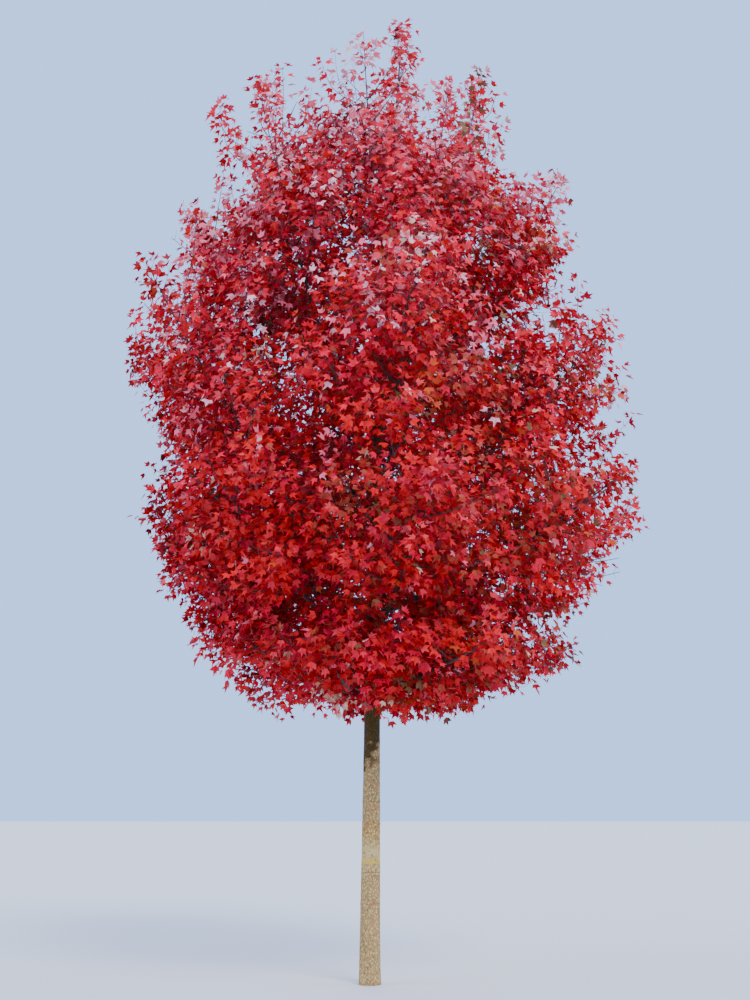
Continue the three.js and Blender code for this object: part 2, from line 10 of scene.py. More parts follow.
import bpy
import numpy as np
from bpy.props import FloatProperty, FloatVectorProperty, PointerProperty
from bpy.types import Operator, Panel, PropertyGroup
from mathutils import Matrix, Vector


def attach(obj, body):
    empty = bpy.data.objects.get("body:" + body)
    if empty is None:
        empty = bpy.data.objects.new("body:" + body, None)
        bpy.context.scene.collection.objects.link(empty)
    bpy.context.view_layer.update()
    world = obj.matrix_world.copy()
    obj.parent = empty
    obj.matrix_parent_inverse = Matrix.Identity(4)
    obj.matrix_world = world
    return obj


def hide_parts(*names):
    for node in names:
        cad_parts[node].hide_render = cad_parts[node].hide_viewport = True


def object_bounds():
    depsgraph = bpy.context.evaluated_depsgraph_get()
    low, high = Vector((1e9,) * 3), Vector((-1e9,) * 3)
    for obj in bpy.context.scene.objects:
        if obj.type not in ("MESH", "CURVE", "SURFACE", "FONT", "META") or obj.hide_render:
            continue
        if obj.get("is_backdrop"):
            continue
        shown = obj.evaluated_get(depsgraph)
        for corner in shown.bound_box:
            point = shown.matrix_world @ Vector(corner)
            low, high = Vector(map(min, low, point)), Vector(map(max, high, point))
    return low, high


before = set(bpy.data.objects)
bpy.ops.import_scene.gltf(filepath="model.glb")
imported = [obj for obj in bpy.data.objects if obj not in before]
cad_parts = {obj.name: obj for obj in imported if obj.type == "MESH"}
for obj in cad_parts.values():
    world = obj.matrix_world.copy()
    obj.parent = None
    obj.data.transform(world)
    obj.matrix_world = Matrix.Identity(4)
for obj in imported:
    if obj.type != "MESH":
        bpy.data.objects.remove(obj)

bl_info = {
    "name": "Autumn Tree Looks",
    "version": (1, 0, 0),
    "blender": (4, 5, 0),
    "location": "3D View > Sidebar > Tree",
    "description": "Bark, twigs and leaves of a young maple over its packed solids",
    "category": "Object",
}

CAD_BOUNDS = [list(corner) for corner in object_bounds()]
BODY = "root"
TRUNK_NODE = "trunk"
BOUGH_NODE = "bough_"
MASS_NODE = "foliage_"

# The whole tree, as in the solids
TREE_HEIGHT = 9.78
TIP_SHIFT = 0.34
TIP_BEND = 2.2
SWAY_REACH = 0.009
SWAY_ALONG = 9.5
SWAY_ACROSS = 7.1

# The crown's outline
CROWN_FOOT = 2.33
CROWN_WAIST = 5.15
CROWN_TOP = 9.83
CROWN_REACH = 2.54
UPPER_POWER, UPPER_BEND = 2.1, 0.66
LOWER_POWER, LOWER_BEND = 3.0, 0.75
SIDE_LIMIT = 0.95
LOW_SHIFT, HIGH_SHIFT = 0.27, -0.25  # the crown's middle beside the stem, in its lower and upper half
SHIFT_FROM, SHIFT_TO = 5.1, 6.3
SHIFT_FADE = 0.9  # it comes back to the stem over this stretch below the top
EDGE_STEP = 0.05  # the outline's slope is measured over this much above and below a point
EDGE_TURN = 1.15  # how strongly shoots that would leave the crown turn along its edge
LEAST_REACH = 0.001
# Heights, how much higher than there the outline is read for most shoots, and how far aside it is moved
RAISED_AT = (2.6, 3.2, 4.2, 5.5, 6.3, 7.2, 7.9, 8.5, 9.0)
RAISED_BY = (0.2, 0.22, 0.2, 0.14, 0.34, 0.56, 0.74, 0.98, 1.02)
RAISED_ASIDE = (-0.5, -0.45, -0.32, -0.14, 0.14, 0.1, 0.03, -0.26, -0.3)

# The stem
STEM_RADIUS = 0.095
STEM_TAPER_POWER = 0.95
STEM_TAPER_END = 9.58
STEM_END = 7.75
FLARE_SWELL = 0.007
FLARE_HEIGHT = 0.13
FLARE_RIBS = 5
FLARE_RIB_DEPTH = 0.004

# Each tier of boughs: its name, how many, the heights between which they leave the stem, the height
# of their tips, its turn, the bare share of each limb, its share of the outline, its longest twigs
TIERS = (
    ("skirt", 6, (2.5, 2.82), 3.27, 53, 0.16, 1.0, 1.0),
    ("lower", 7, (2.85, 3.5), 4.54, 20, 0.34, 1.01, 1.2),
    ("mid", 6, (3.7, 4.5), 6.2, 42, 0.38, 1.02, 1.2),
    ("upper", 6, (4.75, 5.6), 7.98, 55, 0.4, 1.03, 1.0),
    ("top", 4, (5.9, 6.8), 9.05, 3, 0.42, 1.08, 0.7),
)
LEADER_SPREAD = 0.52
TIP_SCATTER = 0.27
TURN_SCATTER = 9
ELBOW_OUT = 0.56
ELBOW_UP = 0.34
BOUGH_SHARE = 0.4
BOUGH_TAPER = 0.9
COLLAR_SWELL = 0.3
COLLAR_LENGTH = 0.09
TIP_RADIUS = 0.004

# The twigs of a mass
NODES = 10
FIRST_NODE = 0.02
NODE_TURN = 45
END_STRETCH = 0.49
TWIG_ANGLE = (44, 66)
ROLL_SCATTER = 30
TWIG_LIFT = 0.035
TWIG_LUCK = (0.86, 1.12)
TWIG_OF_LIMB = 0.8  # a twig's root is at most this share of its limb's thickness
LEAST_SPREAD = 0.4
SPREAD_POWER = 0.75
LIMB_MARGIN = 0.022
STEM_SAMPLES = 9
LIMB_SAMPLES = 28
TRUNK_SAMPLES = 84
LENGTH_SAMPLES = 201
UPRIGHT = 0.05  # a line that leans less than this counts as upright

HASH_SEED = 2166136261
HASH_FIRST = 16777619
HASH_SECOND = 2246822519
# Keys that tell the draws apart. Each limb and twig has so many keys for what grows on it, and some
# kinds of twigs start at a key of their own
HEIGHT_LUCK, TURN_LUCK, ANGLE_LUCK, ROLL_LUCK, LENGTH_LUCK = 379, 2, 3, 4, 5
SPRAY_LUCK, SHOOT_LUCK, LEAF_LUCK, TINT_LUCK, BARK_LUCK = 9, 11, 31, 51, 71
LIMB_KEYS, TWIG_KEYS, SHOOT_KINDS, LEAF_KEYS = 100, 64, 8, 4
INNER_KEY, LEADING_KEY, WHIP_KEY, BRANCHLET_KEY = 60, 90, 7, 8

UP = np.array([0.0, 0.0, 1.0])
FULL_TURN = 2 * math.pi


def mix(low, high, share):
    return low + (high - low) * share


def unit(vectors):
    return vectors / np.maximum(np.linalg.norm(vectors, axis=-1, keepdims=True), 1e-9)


def chance(*keys):
    """A number from 0 to 1 for each row of keys, which depends on nothing else."""
    keys = np.broadcast_arrays(*[np.atleast_1d(key).astype(np.uint32) for key in keys])
    mixed = np.full(keys[0].shape, HASH_SEED, np.uint32)
    for key in keys:
        mixed = (mixed ^ key) * np.uint32(HASH_FIRST)
        mixed = (mixed ^ (mixed >> np.uint32(15))) * np.uint32(HASH_SECOND)
        mixed = mixed ^ (mixed >> np.uint32(13))
    return mixed / 2.0**32


def between(limits, *keys):
    """A number within the limits for each row of keys."""
    return mix(*limits, chance(*keys))


def scatter(*keys):
    """A number from -0.5 to 0.5 for each row of keys."""
    return chance(*keys) - 0.5


def stacked(found):
    """The columns of several sets of rows, each joined into one array."""
    return [np.concatenate(column) for column in zip(*found)]


def circled(first, second, angle):
    """Directions at an angle from the first one round towards the second, which is square to it."""
    return first * np.cos(angle)[..., None] + second * np.sin(angle)[..., None]


# The rule of the solids: the stem's line and thickness, and the crown's outline


def stem_centre(height):
    height = np.asarray(height, float)
    share = height / TREE_HEIGHT
    x = TIP_SHIFT * share**TIP_BEND + SWAY_REACH * np.sin(share * SWAY_ALONG)
    return np.stack([x, SWAY_REACH * np.sin(share * SWAY_ACROSS), height], axis=-1)


def stem_radius(height):
    return STEM_RADIUS * np.maximum(1 - height / STEM_TAPER_END, 0) ** STEM_TAPER_POWER + TIP_RADIUS


def stem_skin(height, angle):
    ribs = FLARE_SWELL + FLARE_RIB_DEPTH * np.cos(FLARE_RIBS * angle)
    return stem_radius(height) + np.exp(-height / FLARE_HEIGHT) * ribs


def crown_centre(height):
    share = np.clip((np.asarray(height, float) - SHIFT_FROM) / (SHIFT_TO - SHIFT_FROM), 0, 1)
    fade = np.clip((CROWN_TOP - np.asarray(height, float)) / SHIFT_FADE, 0, 1)
    centre = stem_centre(height)
    centre[..., 0] += mix(LOW_SHIFT, HIGH_SHIFT, share) * fade
    return centre


def outline(height):
    above = height > CROWN_WAIST
    depth = np.where(above, CROWN_TOP - CROWN_WAIST, CROWN_WAIST - CROWN_FOOT)
    power = np.where(above, UPPER_POWER, LOWER_POWER)
    bend = np.where(above, UPPER_BEND, LOWER_BEND)
    share = np.minimum(np.abs(height - CROWN_WAIST) / depth, 1)
    return CROWN_REACH * (1 - share**power) ** bend


class Limbs:
    """The limbs of the tree as arrays: each is a bare bough and then the stem of a mass."""

    def __init__(self):
        rows = []
        for name, count, fork, tip, turn, bare, reach, spread in TIERS:
            for place in range(count):
                index = len(rows)
                order = (place * 2) % count
                start = stem_centre(mix(*fork, order / (count - 1)))
                height = tip + TIP_SCATTER * scatter(index, HEIGHT_LUCK)[0] * 2
                aside = TURN_SCATTER * scatter(index, TURN_LUCK)[0] * 2
                angle = math.radians(turn + 360 * place / count + aside)
                outward = np.array([math.cos(angle), math.sin(angle), 0])
                end = crown_centre(height) + outward * outline(height) * reach
                elbow = mix(start, end, ELBOW_OUT)
                elbow[2] = mix(start[2], end[2], ELBOW_UP)
                side = np.array([-outward[1], outward[0], 0])
                root = stem_radius(start[2]) * BOUGH_SHARE
                rows.append((f"{name}_{place + 1}", start, elbow, end, side, root, bare, spread))
        base, top = stem_centre(STEM_END), stem_centre(TREE_HEIGHT)
        side = np.array([0.0, 1.0, 0.0])
        rows.append(("leader", base, (base + top) / 2, top, side, stem_radius(STEM_END), 0, LEADER_SPREAD))
        self.names = [row[0] for row in rows]
        columns = [np.array([row[i] for row in rows], float) for i in range(1, 8)]
        self.start, self.elbow, self.tip, self.side, self.root, self.bare, self.spread = columns
        self.count = len(rows)
        every = np.arange(self.count)
        steps = [self.point(every, share) for share in np.linspace(0, 1, LENGTH_SAMPLES)]
        self.length = np.sum([np.linalg.norm(b - a, axis=-1) for a, b in zip(steps, steps[1:])], axis=0)
        self.end_share = 1 - END_STRETCH / self.length

    def point(self, limb, share):
        share = np.broadcast_to(share, np.shape(limb))[..., None]
        first = mix(self.start[limb], self.elbow[limb], share)
        return mix(first, mix(self.elbow[limb], self.tip[limb], share), share)

    def along(self, limb, share):
        share = np.broadcast_to(share, np.shape(limb))[..., None]
        first = self.elbow[limb] - self.start[limb]
        return unit(mix(first, self.tip[limb] - self.elbow[limb], share))

    def radius(self, limb, share):
        fade = np.exp(-share * self.length[limb] / COLLAR_LENGTH)
        collar = np.where(self.bare[limb] > 0, COLLAR_SWELL * fade, 0)
        return TIP_RADIUS + self.root[limb] * (1 - share) ** BOUGH_TAPER * (1 + collar)


LIMBS = Limbs()


@cache
def stem_samples():
    every = np.arange(LIMBS.count)
    shares = [mix(LIMBS.bare, 1, i / (STEM_SAMPLES - 1)) for i in range(STEM_SAMPLES)]
    return np.stack([LIMBS.point(every, share) for share in shares], axis=1)


@cache
def bare_samples():
    """Centres and radii along the stem and every bare bough."""
    boughs = np.flatnonzero(LIMBS.bare)
    heights = np.linspace(0, STEM_END, TRUNK_SAMPLES)
    centres = [stem_centre(heights)]
    radii = [stem_radius(heights) + FLARE_SWELL]
    for i in range(LIMB_SAMPLES):
        share = LIMBS.bare[boughs] * i / (LIMB_SAMPLES - 1)
        centres.append(LIMBS.point(boughs, share))
        radii.append(LIMBS.radius(boughs, share))
    return np.concatenate(centres), np.concatenate(radii)


def distances(points, others):
    squares = (points**2).sum(1)[:, None] + (others**2).sum(1) - 2 * points @ others.T
    return np.sqrt(np.maximum(squares, 0))


def limb_clearance(points):
    """How far each point is from the skin of the nearest bare limb."""
    centres, radii = bare_samples()
    return (distances(points, centres) - radii).min(axis=1)


def outline_share(points, raised=False):
    """How far out points are, as a share of the outline's reach where they are. Raised, it is the
    outline's reach a little higher up and aside, so that the same share lies deeper at the crown's top."""
    if raised:
        aside, higher = (np.interp(points[:, 2], RAISED_AT, column) for column in (RAISED_ASIDE, RAISED_BY))
        points = points + np.stack([-aside, np.zeros_like(aside), higher], axis=1)
    centre = crown_centre(points[:, 2])
    reach = np.hypot(points[:, 0] - centre[:, 0], points[:, 1] - centre[:, 1])
    return reach / np.maximum(outline(points[:, 2]), LEAST_REACH)


def in_space(points, mass, allowed, margin, raised):
    """Whether each point is in its mass's own space: within the outline, nearer to its own stem than
    to any other, and off the bare limbs."""
    samples = stem_samples()
    near = distances(points, samples.reshape(-1, 3)).reshape(-1, LIMBS.count, STEM_SAMPLES).min(axis=2)
    rows = np.arange(len(points))
    own = near[rows, mass].copy()
    near[rows, mass] = np.inf
    fits = (outline_share(points, raised) <= allowed) & (near.min(axis=1) >= own + margin)
    return fits & (limb_clearance(points) > LIMB_MARGIN)


class Order(NamedTuple):
    """How the twigs of one order grow, and how thick they are."""

    stride: float
    wander: float  # those that wander also turn along the crown's edge
    margin: float  # how much nearer they stay to their own stem than to any other
    raised: bool  # whether they keep within the raised outline
    least: int  # the fewest strides of a twig that is kept
    root: float  # the radius at the root, and what it gains for each metre of length
    gain: float
    tip: float


SIDE_TWIG = Order(0.06, 0.0, 0.026, False, 4, 0.0025, 0.0065, 0.0026)
INNER_TWIG = SIDE_TWIG._replace(root=0.002, gain=0.006, tip=0.0016)
BRANCHLET = Order(0.06, 0.1, -0.3, True, 3, 0.0018, 0.005, 0.0014)
SHOOT = Order(0.05, 0.12, -0.3, True, 2, 0.0018, 0.0045, 0.0011)
OUTER_SHOOT = SHOOT._replace(raised=False, gain=0.006)


class Twigs:
    """Many twigs of one order: the points that each grew through, and how many of them count."""

    def __init__(self, stride, tip, *arrays):
        self.stride, self.tip, self.arrays = stride, tip, arrays
        self.mass, self.points, self.counts, self.keys, self.branch, self.root = arrays

    def keep(self, chosen):
        return Twigs(self.stride, self.tip, *(array[chosen] for array in self.arrays))

    def length(self):
        return (self.counts - 1) * self.stride

    def coarser(self):
        """The same twigs through every second point, and their ends."""
        arrays = (self.mass, self.points[:, ::2], self.counts // 2 + 1, self.keys, self.branch, self.root)
        return Twigs(self.stride * 2, self.tip, *arrays)

    def at(self, rows, distance):
        """Points and directions of some twigs at a distance from their roots."""
        place = np.minimum(distance / self.stride, self.counts[rows] - 1 - 1e-6)
        step = np.maximum(place, 0).astype(int)
        first, second = self.points[rows, step], self.points[rows, step + 1]
        return mix(first, second, (place - step)[:, None]), unit(second - first)


def turned_along_edge(headings, ahead, allowed, raised):
    """Headings that would leave the crown are turned to run along its edge instead."""
    beyond = np.flatnonzero(outline_share(ahead, raised) > allowed)
    if len(beyond):
        height = ahead[beyond, 2]
        slope = (outline(height + EDGE_STEP) - outline(height - EDGE_STEP)) / (2 * EDGE_STEP)
        out = unit((ahead[beyond] - crown_centre(height)) * (1, 1, 0))
        normal = unit(out - UP * slope[:, None])
        across = (headings[beyond] * normal).sum(axis=1, keepdims=True)
        headings[beyond] = unit(headings[beyond] - normal * np.maximum(across, 0) * EDGE_TURN)
    return headings


def grow(order, mass, starts, headings, wanted, lift, allowed, keys, branch, thickest=np.inf):
    """Twigs that grow stride by stride, lifting a little, until they are as long as they want to be
    or would leave their mass's space."""
    strides = np.floor(wanted / order.stride).astype(int)
    points = np.repeat(starts[:, None], strides.max() + 2, axis=1)
    counts = np.ones(len(starts), int)
    growing = np.ones(len(starts), bool)
    heading = headings.copy()
    lift, allowed = (np.broadcast_to(value, len(starts)) for value in (lift, allowed))
    for i in range(strides.max()):
        growing &= strides > i
        rows = np.flatnonzero(growing)
        heading[rows, 2] += lift[rows]
        if order.wander:
            for axis in range(3):
                heading[rows, axis] += order.wander * scatter(keys[rows], i, axis)
        heading[rows] = unit(heading[rows])
        ahead = points[rows, i] + heading[rows] * order.stride
        if order.wander and i > 0:
            heading[rows] = turned_along_edge(heading[rows], ahead, allowed[rows], order.raised)
            ahead = points[rows, i] + heading[rows] * order.stride
        if i > 1:
            fits = in_space(ahead, mass[rows], allowed[rows], order.margin, order.raised)
            growing[rows[~fits]] = False
            rows, ahead = rows[fits], ahead[fits]
        points[rows, i + 1:] = ahead[:, None]
        counts[rows] += 1
    root = np.minimum(order.root + (counts - 1) * order.stride * order.gain, thickest)
    grown = Twigs(order.stride, order.tip, mass, points, counts, keys, branch, root)
    return grown.keep(counts > order.least)


def sideways(along, side, angle, roll):
    """Directions tilted off the lines that they leave, and rolled round them."""
    first = unit(side - along * (side * along).sum(axis=1, keepdims=True))
    return circled(along, circled(first, np.cross(along, first), roll), angle)


def level_side(along):
    """A level direction across each line."""
    side = np.cross(UP, along)
    flat = np.linalg.norm(side, axis=1) < UPRIGHT
    side[flat] = np.cross((1.0, 0.0, 0.0), along[flat])
    return unit(side)


def twig_pairs(order, limb, node, first_key, share, longest, luck):
    """Opposite pairs of twigs on the limbs, each pair turned from the one before it. Each row of the
    arrays is one twig, and the two of a pair follow one another."""
    half = np.tile([0, 1], len(limb) // 2)
    key = first_key + node * 2 + half
    angle = np.radians(between(TWIG_ANGLE, limb, key, ANGLE_LUCK))
    roll = np.radians(node * NODE_TURN + ROLL_SCATTER * scatter(limb, key, ROLL_LUCK) + half * 180)
    wanted = longest * between(luck, limb, key, LENGTH_LUCK)
    heading = sideways(LIMBS.along(limb, share), LIMBS.side[limb], angle, roll)
    start, thickest = LIMBS.point(limb, share), LIMBS.radius(limb, share) * TWIG_OF_LIMB
    keys = limb * LIMB_KEYS + key
    return grow(order, limb, start, heading, wanted, TWIG_LIFT, SIDE_LIMIT, keys, keys, thickest)


def side_twigs():
    """The twigs along each mass's stem, as in the solids, at every node."""
    limb = np.repeat(np.arange(LIMBS.count), NODES * 2)
    node = np.tile(np.repeat(np.arange(NODES), 2), LIMBS.count)
    bare = LIMBS.bare[limb]
    share = mix(mix(bare, 1, FIRST_NODE), LIMBS.end_share[limb], (node + 0.5) / NODES)
    shorter = mix(LEAST_SPREAD, 1, ((1 - share) / (1 - bare)) ** SPREAD_POWER)
    return twig_pairs(SIDE_TWIG, limb, node, 0, share, LIMBS.spread[limb] * shorter, TWIG_LUCK)


# Finer than the solids: twigs on the bare boughs, branchlets on from the side twigs, the shoots along
# all of them, which bear the leaves, and the long shoots at the crown's edge

INNER_STEP = 0.22  # between the pairs of twigs on the bare boughs, inside the crown
INNER_FROM = 0.14
INNER_LENGTH = 0.5
INNER_LUCK = (0.7, 1.3)
LEADING_COUNT = 9
BRANCHLET_PLACES = (1.0, 0.55)  # shares of a side twig's length
BRANCHLET_ANGLE = ((5, 30), (35, 65))
BRANCHLET_ROLL = 1.6
BRANCHLET_LENGTH = (0.3, 0.75)
BRANCHLET_LIMIT = (0.68, 0.9)  # they close the valleys between the masses no further out than this
BRANCHLET_SHARE = 0.8
FIRST_SHOOT = 0.08
SHOOT_JITTER = 0.35  # a share of the step between pairs
SHOOT_END = 0.03  # no pair stands nearer to its twig's end
SHOOT_ANGLE = (34, 62)
SHOOT_TURN = 1.2  # from each pair to the next, and back
SHOOT_ROLL = 0.9
SHOOT_LEAST = 0.15  # the length that shoots come down to over the last stretch of their twig
SHOOT_STRETCH = 0.7
SHOOT_POWER = 0.8
SHOOT_LENGTHS = (0.7, 1.25)
SHOOT_LIFT = 0.05
LIMIT_POWER = 2.2  # the higher, the fewer shoots grow out as far as their limits let them
LIFT_ABOVE = 5.5  # above this height the shoots are longer and turn up more, towards the tree's top
LIFT_MORE = 2.0
STEEPER = 0.4  # the share of their angle that the uppermost shoots lose
LONGER = 0.3
DROOP = 0.1
DROOP_BELOW = 3.7
INNER_SHARE = 0.3  # inside this share of the outline some of the shoots are missing, for want of light
INNER_KEPT = 0.6
THIN_ABOVE = 6.9  # from here up the crown thins out towards its top
THIN_OVER = 2.4
SHOOTS_THINNED = 0.5
LEAVES_THINNED = 0.7
SPIRES = 0.5  # the branches whose leaves reach on out to the crown's edge, and make its points
WHIP_SHARE = (0.75, 1.0)  # how many spires end in a long upright shoot, low down and at the top
WHIP_LENGTH = (0.25, 0.6)
WHIP_LONGER = (0.7, 1.2)  # low down and at the top
WHIP_UPRIGHT = (0.25, 0.8)  # how much they turn up, low down and at the top, and how far they go on ahead
WHIP_ALONG = 0.7
WHIP_LIFT = 0.11
WHIP_LIMIT = (1.0, 1.13)
WHIP_FROM = 0.62  # the share of the outline from which they grow
# The shoots on each kind of twig: the step between them and their length, as shares of those that are
# set, a key, how far out they grow as shares of the outline, and their order
SHOOTS_ON = {
    "sides": (1.5, 1.0, 1, (0.84, 1.02), SHOOT),
    "leading": (0.8, 0.9, 2, (0.98, 1.12), OUTER_SHOOT),
    "inner": (1.2, 0.6, 3, (0.84, 1.02), SHOOT),
    "spread": (1.3, 0.8, 4, (0.76, 0.96), SHOOT),
}


def upward(height):
    """How near to the top of the crown a height is: 0 from the widest part down, and 1 at the top."""
    return np.clip((height - LIFT_ABOVE) / (TREE_HEIGHT - LIFT_ABOVE), 0, 1)


def thinness(height):
    return np.clip((height - THIN_ABOVE) / THIN_OVER, 0, 1)


def is_spire(branch):
    """Whether each branch reaches on out: some of them, and each mass's own end, and the whole leader."""
    leading = (branch % LIMB_KEYS == LEADING_KEY) | (branch // LIMB_KEYS == LIMBS.count - 1)
    return leading | (chance(branch, SHOOT_LUCK, 6) < SPIRES)


def inner_twigs():
    """Short leafy twigs on the boughs themselves, which close the crown's middle from outside."""
    boughs = np.flatnonzero(LIMBS.bare)
    room = LIMBS.length[boughs] * LIMBS.bare[boughs]
    found = []
    for place in range(int(room.max() / INNER_STEP)):
        near = boughs[INNER_FROM + place * INNER_STEP < room]
        found.append((near, np.full(len(near), place)))
    limb, node = (np.repeat(column, 2) for column in stacked(found))
    share = (INNER_FROM + node * INNER_STEP) / LIMBS.length[limb]
    return twig_pairs(INNER_TWIG, limb, node, INNER_KEY, share, INNER_LENGTH, INNER_LUCK)


def leading_shoots():
    """The end of each mass's own stem, from which leaves and shoots grow as from a twig."""
    limb = np.arange(LIMBS.count)
    shares = [mix(LIMBS.end_share, 1, i / (LEADING_COUNT - 1)) for i in range(LEADING_COUNT)]
    points = np.stack([LIMBS.point(limb, share) for share in shares], axis=1)
    points = np.concatenate([points, points[:, -1:]], axis=1)
    counts = np.full(LIMBS.count, LEADING_COUNT)
    keys = limb * LIMB_KEYS + LEADING_KEY
    root = np.full(LIMBS.count, TIP_RADIUS)
    return Twigs(END_STRETCH / (LEADING_COUNT - 1), TIP_RADIUS, limb, points, counts, keys, keys, root)


def branchlets(twigs):
    """The next order of twigs: one on from the end of each side twig, and one to a side further back.
    They spread along the crown's edge, and close the gaps between the masses."""
    length = twigs.length()
    found = []
    for place, share in enumerate(BRANCHLET_PLACES):
        start, along = twigs.at(np.arange(len(length)), length * share)
        wanted = BRANCHLET_SHARE * (1 - thinness(start[:, 2]))
        rows = np.flatnonzero(chance(twigs.keys, SHOOT_LUCK, 4 + place) < wanted)
        keys = twigs.keys[rows] * TWIG_KEYS + BRANCHLET_KEY + place
        angle = np.radians(between(BRANCHLET_ANGLE[place], keys, ANGLE_LUCK))
        roll = scatter(keys, ROLL_LUCK) * BRANCHLET_ROLL + math.pi * (twigs.keys[rows] % 2)
        heading = sideways(along[rows], level_side(along[rows]), angle, roll)
        found.append((rows, start[rows], heading, between(BRANCHLET_LENGTH, keys, LENGTH_LUCK), keys))
    rows, start, heading, wanted, keys = stacked(found)
    allowed = between(BRANCHLET_LIMIT, keys, SHOOT_LUCK)
    mass, branch = twigs.mass[rows], twigs.branch[rows]
    return grow(BRANCHLET, mass, start, heading, wanted, TWIG_LIFT, allowed, keys, branch)


def shoots_along(twigs, spacing, longest, luck, limit, order):
    """Opposite pairs of shoots along each twig, shorter towards its end."""
    length = twigs.length()
    found = []
    for place in range(int(length.max() / spacing) + 1):
        jitter = spacing * SHOOT_JITTER * scatter(twigs.keys, place, luck)
        distance = FIRST_SHOOT + place * spacing + jitter
        rows = np.flatnonzero(distance < length - SHOOT_END)
        for half in (0, 1):
            found.append((rows, distance[rows], np.full(len(rows), place), np.full(len(rows), half)))
    rows, distance, place, half = stacked(found)
    keys = (twigs.keys[rows] * TWIG_KEYS + place * 2 + half) * SHOOT_KINDS + luck
    start, along = twigs.at(rows, distance)
    higher = upward(start[:, 2])
    angle = np.radians(between(SHOOT_ANGLE, keys, ANGLE_LUCK)) * (1 - STEEPER * higher)
    roll = (place % 2) * SHOOT_TURN + scatter(keys, ROLL_LUCK) * SHOOT_ROLL + half * math.pi
    heading = sideways(along, level_side(along), angle, roll)
    left = np.minimum((length[rows] - distance) / SHOOT_STRETCH, 1)
    wanted = mix(SHOOT_LEAST, longest, left**SHOOT_POWER) * between(SHOOT_LENGTHS, keys, LENGTH_LUCK)
    wanted = wanted * (1 + LONGER * higher)
    kept = (outline_share(start) >= INNER_SHARE) | (chance(keys, SHOOT_LUCK) < INNER_KEPT)
    kept &= chance(keys, SHOOT_LUCK, 2) >= SHOOTS_THINNED * thinness(start[:, 2])
    columns = (rows, start, heading, wanted, keys, higher)
    rows, start, heading, wanted, keys, higher = (column[kept] for column in columns)
    allowed = mix(*limit, chance(keys, SHOOT_LUCK, 1) ** LIMIT_POWER)
    lift = SHOOT_LIFT * (1 + LIFT_MORE * higher) - DROOP * np.clip(DROOP_BELOW - start[:, 2], 0, 1)
    return grow(order, twigs.mass[rows], start, heading, wanted, lift, allowed, keys, twigs.branch[rows])


def whips(twigs):
    """Long upright shoots on from the ends of the outer twigs, with their leaves at their own ends."""
    length = twigs.length()
    start, along = twigs.at(np.arange(len(length)), length)
    higher = upward(start[:, 2])
    outer = (outline_share(start) > WHIP_FROM) & is_spire(twigs.branch)
    rows = np.flatnonzero(outer & (chance(twigs.keys, SHOOT_LUCK, 3) < mix(*WHIP_SHARE, higher)))
    mass, branch, keys = twigs.mass[rows], twigs.branch[rows], twigs.keys[rows] * TWIG_KEYS + WHIP_KEY
    higher = higher[rows]
    heading = unit(along[rows] * WHIP_ALONG + UP * mix(*WHIP_UPRIGHT, higher)[:, None])
    wanted = between(WHIP_LENGTH, keys, LENGTH_LUCK) * mix(*WHIP_LONGER, higher)
    allowed = between(WHIP_LIMIT, keys, SHOOT_LUCK)
    return grow(OUTER_SHOOT, mass, start[rows], heading, wanted, WHIP_LIFT, allowed, keys, branch)


@cache
def crown_wood(spacing, longest):
    """The twigs and shoots of the whole crown, by their kind."""
    wood = {"leading": leading_shoots(), "sides": side_twigs(), "inner": inner_twigs()}
    wood["spread"] = branchlets(wood["sides"])
    for kind, (step, reach, luck, limit, order) in SHOOTS_ON.items():
        wood[f"on_{kind}"] = shoots_along(wood[kind], spacing * step, longest * reach, luck, limit, order)
    wood["whips"] = whips(wood["sides"])
    return wood


# The leaves: three long pointed lobes and two short ones at the foot, folded along the midrib, on a stalk

RIGHT_HALF = ((0.34, 0.06), (0.56, 0.58), (0.17, 0.50))  # across and along, as shares of the length
STALK_WIDTH = 0.0022
TOP_SMALLER = 0.06  # the share of their size that the uppermost leaves lack
TIP_BACK = 0.0001  # the leaf at a twig's tip leaves it just before its end
LEAF_FROM = 0.035  # no leaf stands nearer to its twig's root
FIRST_PAIR = 0.012  # back from the tip
PAIR_LUCK = (0.85, 1.15)
THINNED_TOGETHER = 3  # pairs next to one another that are missing or there together
LEAF_LENGTH = (0.74, 1.16)  # a share of the length that is set
YOUNGEST = 0.88  # the share of it that the leaves at the tip have
LEAF_WIDTH = (0.86, 1.08)
LEAF_FOLD = (0.1, 0.6)
LEAF_CURL = (-0.1, 0.42)
LEAF_HANG = (0.15, 1.25)
LEAF_ROLL = 1.1
SPRAY_ROLL = 3
STALK_LENGTH = (0.5, 1.15)  # a share of the leaf's
STALK_RISE = (0.15, 0.35)  # at the least, and how much more by chance
STALK_SAG = 0.12
STALK_ASIDE = 0.35  # how far the stalk at the tip leans aside, and how far the others lean forward
STALK_AHEAD = 0.5
BLADE_ALONG = 0.8  # how far a blade goes on along its stalk, and outward
BLADE_OUT = 0.25
FACING_UP = 0.75  # how far a blade's upper side turns up, away from the stem, and by chance
FACING_OUT = 0.65
FACING_TOSS = 1.3


def leaf_pattern():
    """The flat corners of a leaf, from its foot by its right edge to its tip and back, and its
    triangles: three on each side of the midrib."""
    left = [(-across, along) for across, along in reversed(RIGHT_HALF)]
    corners = np.array([(0.0, 0.0), *RIGHT_HALF, (0.0, 1.0), *left])
    right = [(0, 1, 3), (1, 2, 3), (0, 3, 4)]
    mirrored = [[(8 - corner) % 8 for corner in reversed(face)] for face in right]
    return corners, np.array(right + mirrored)


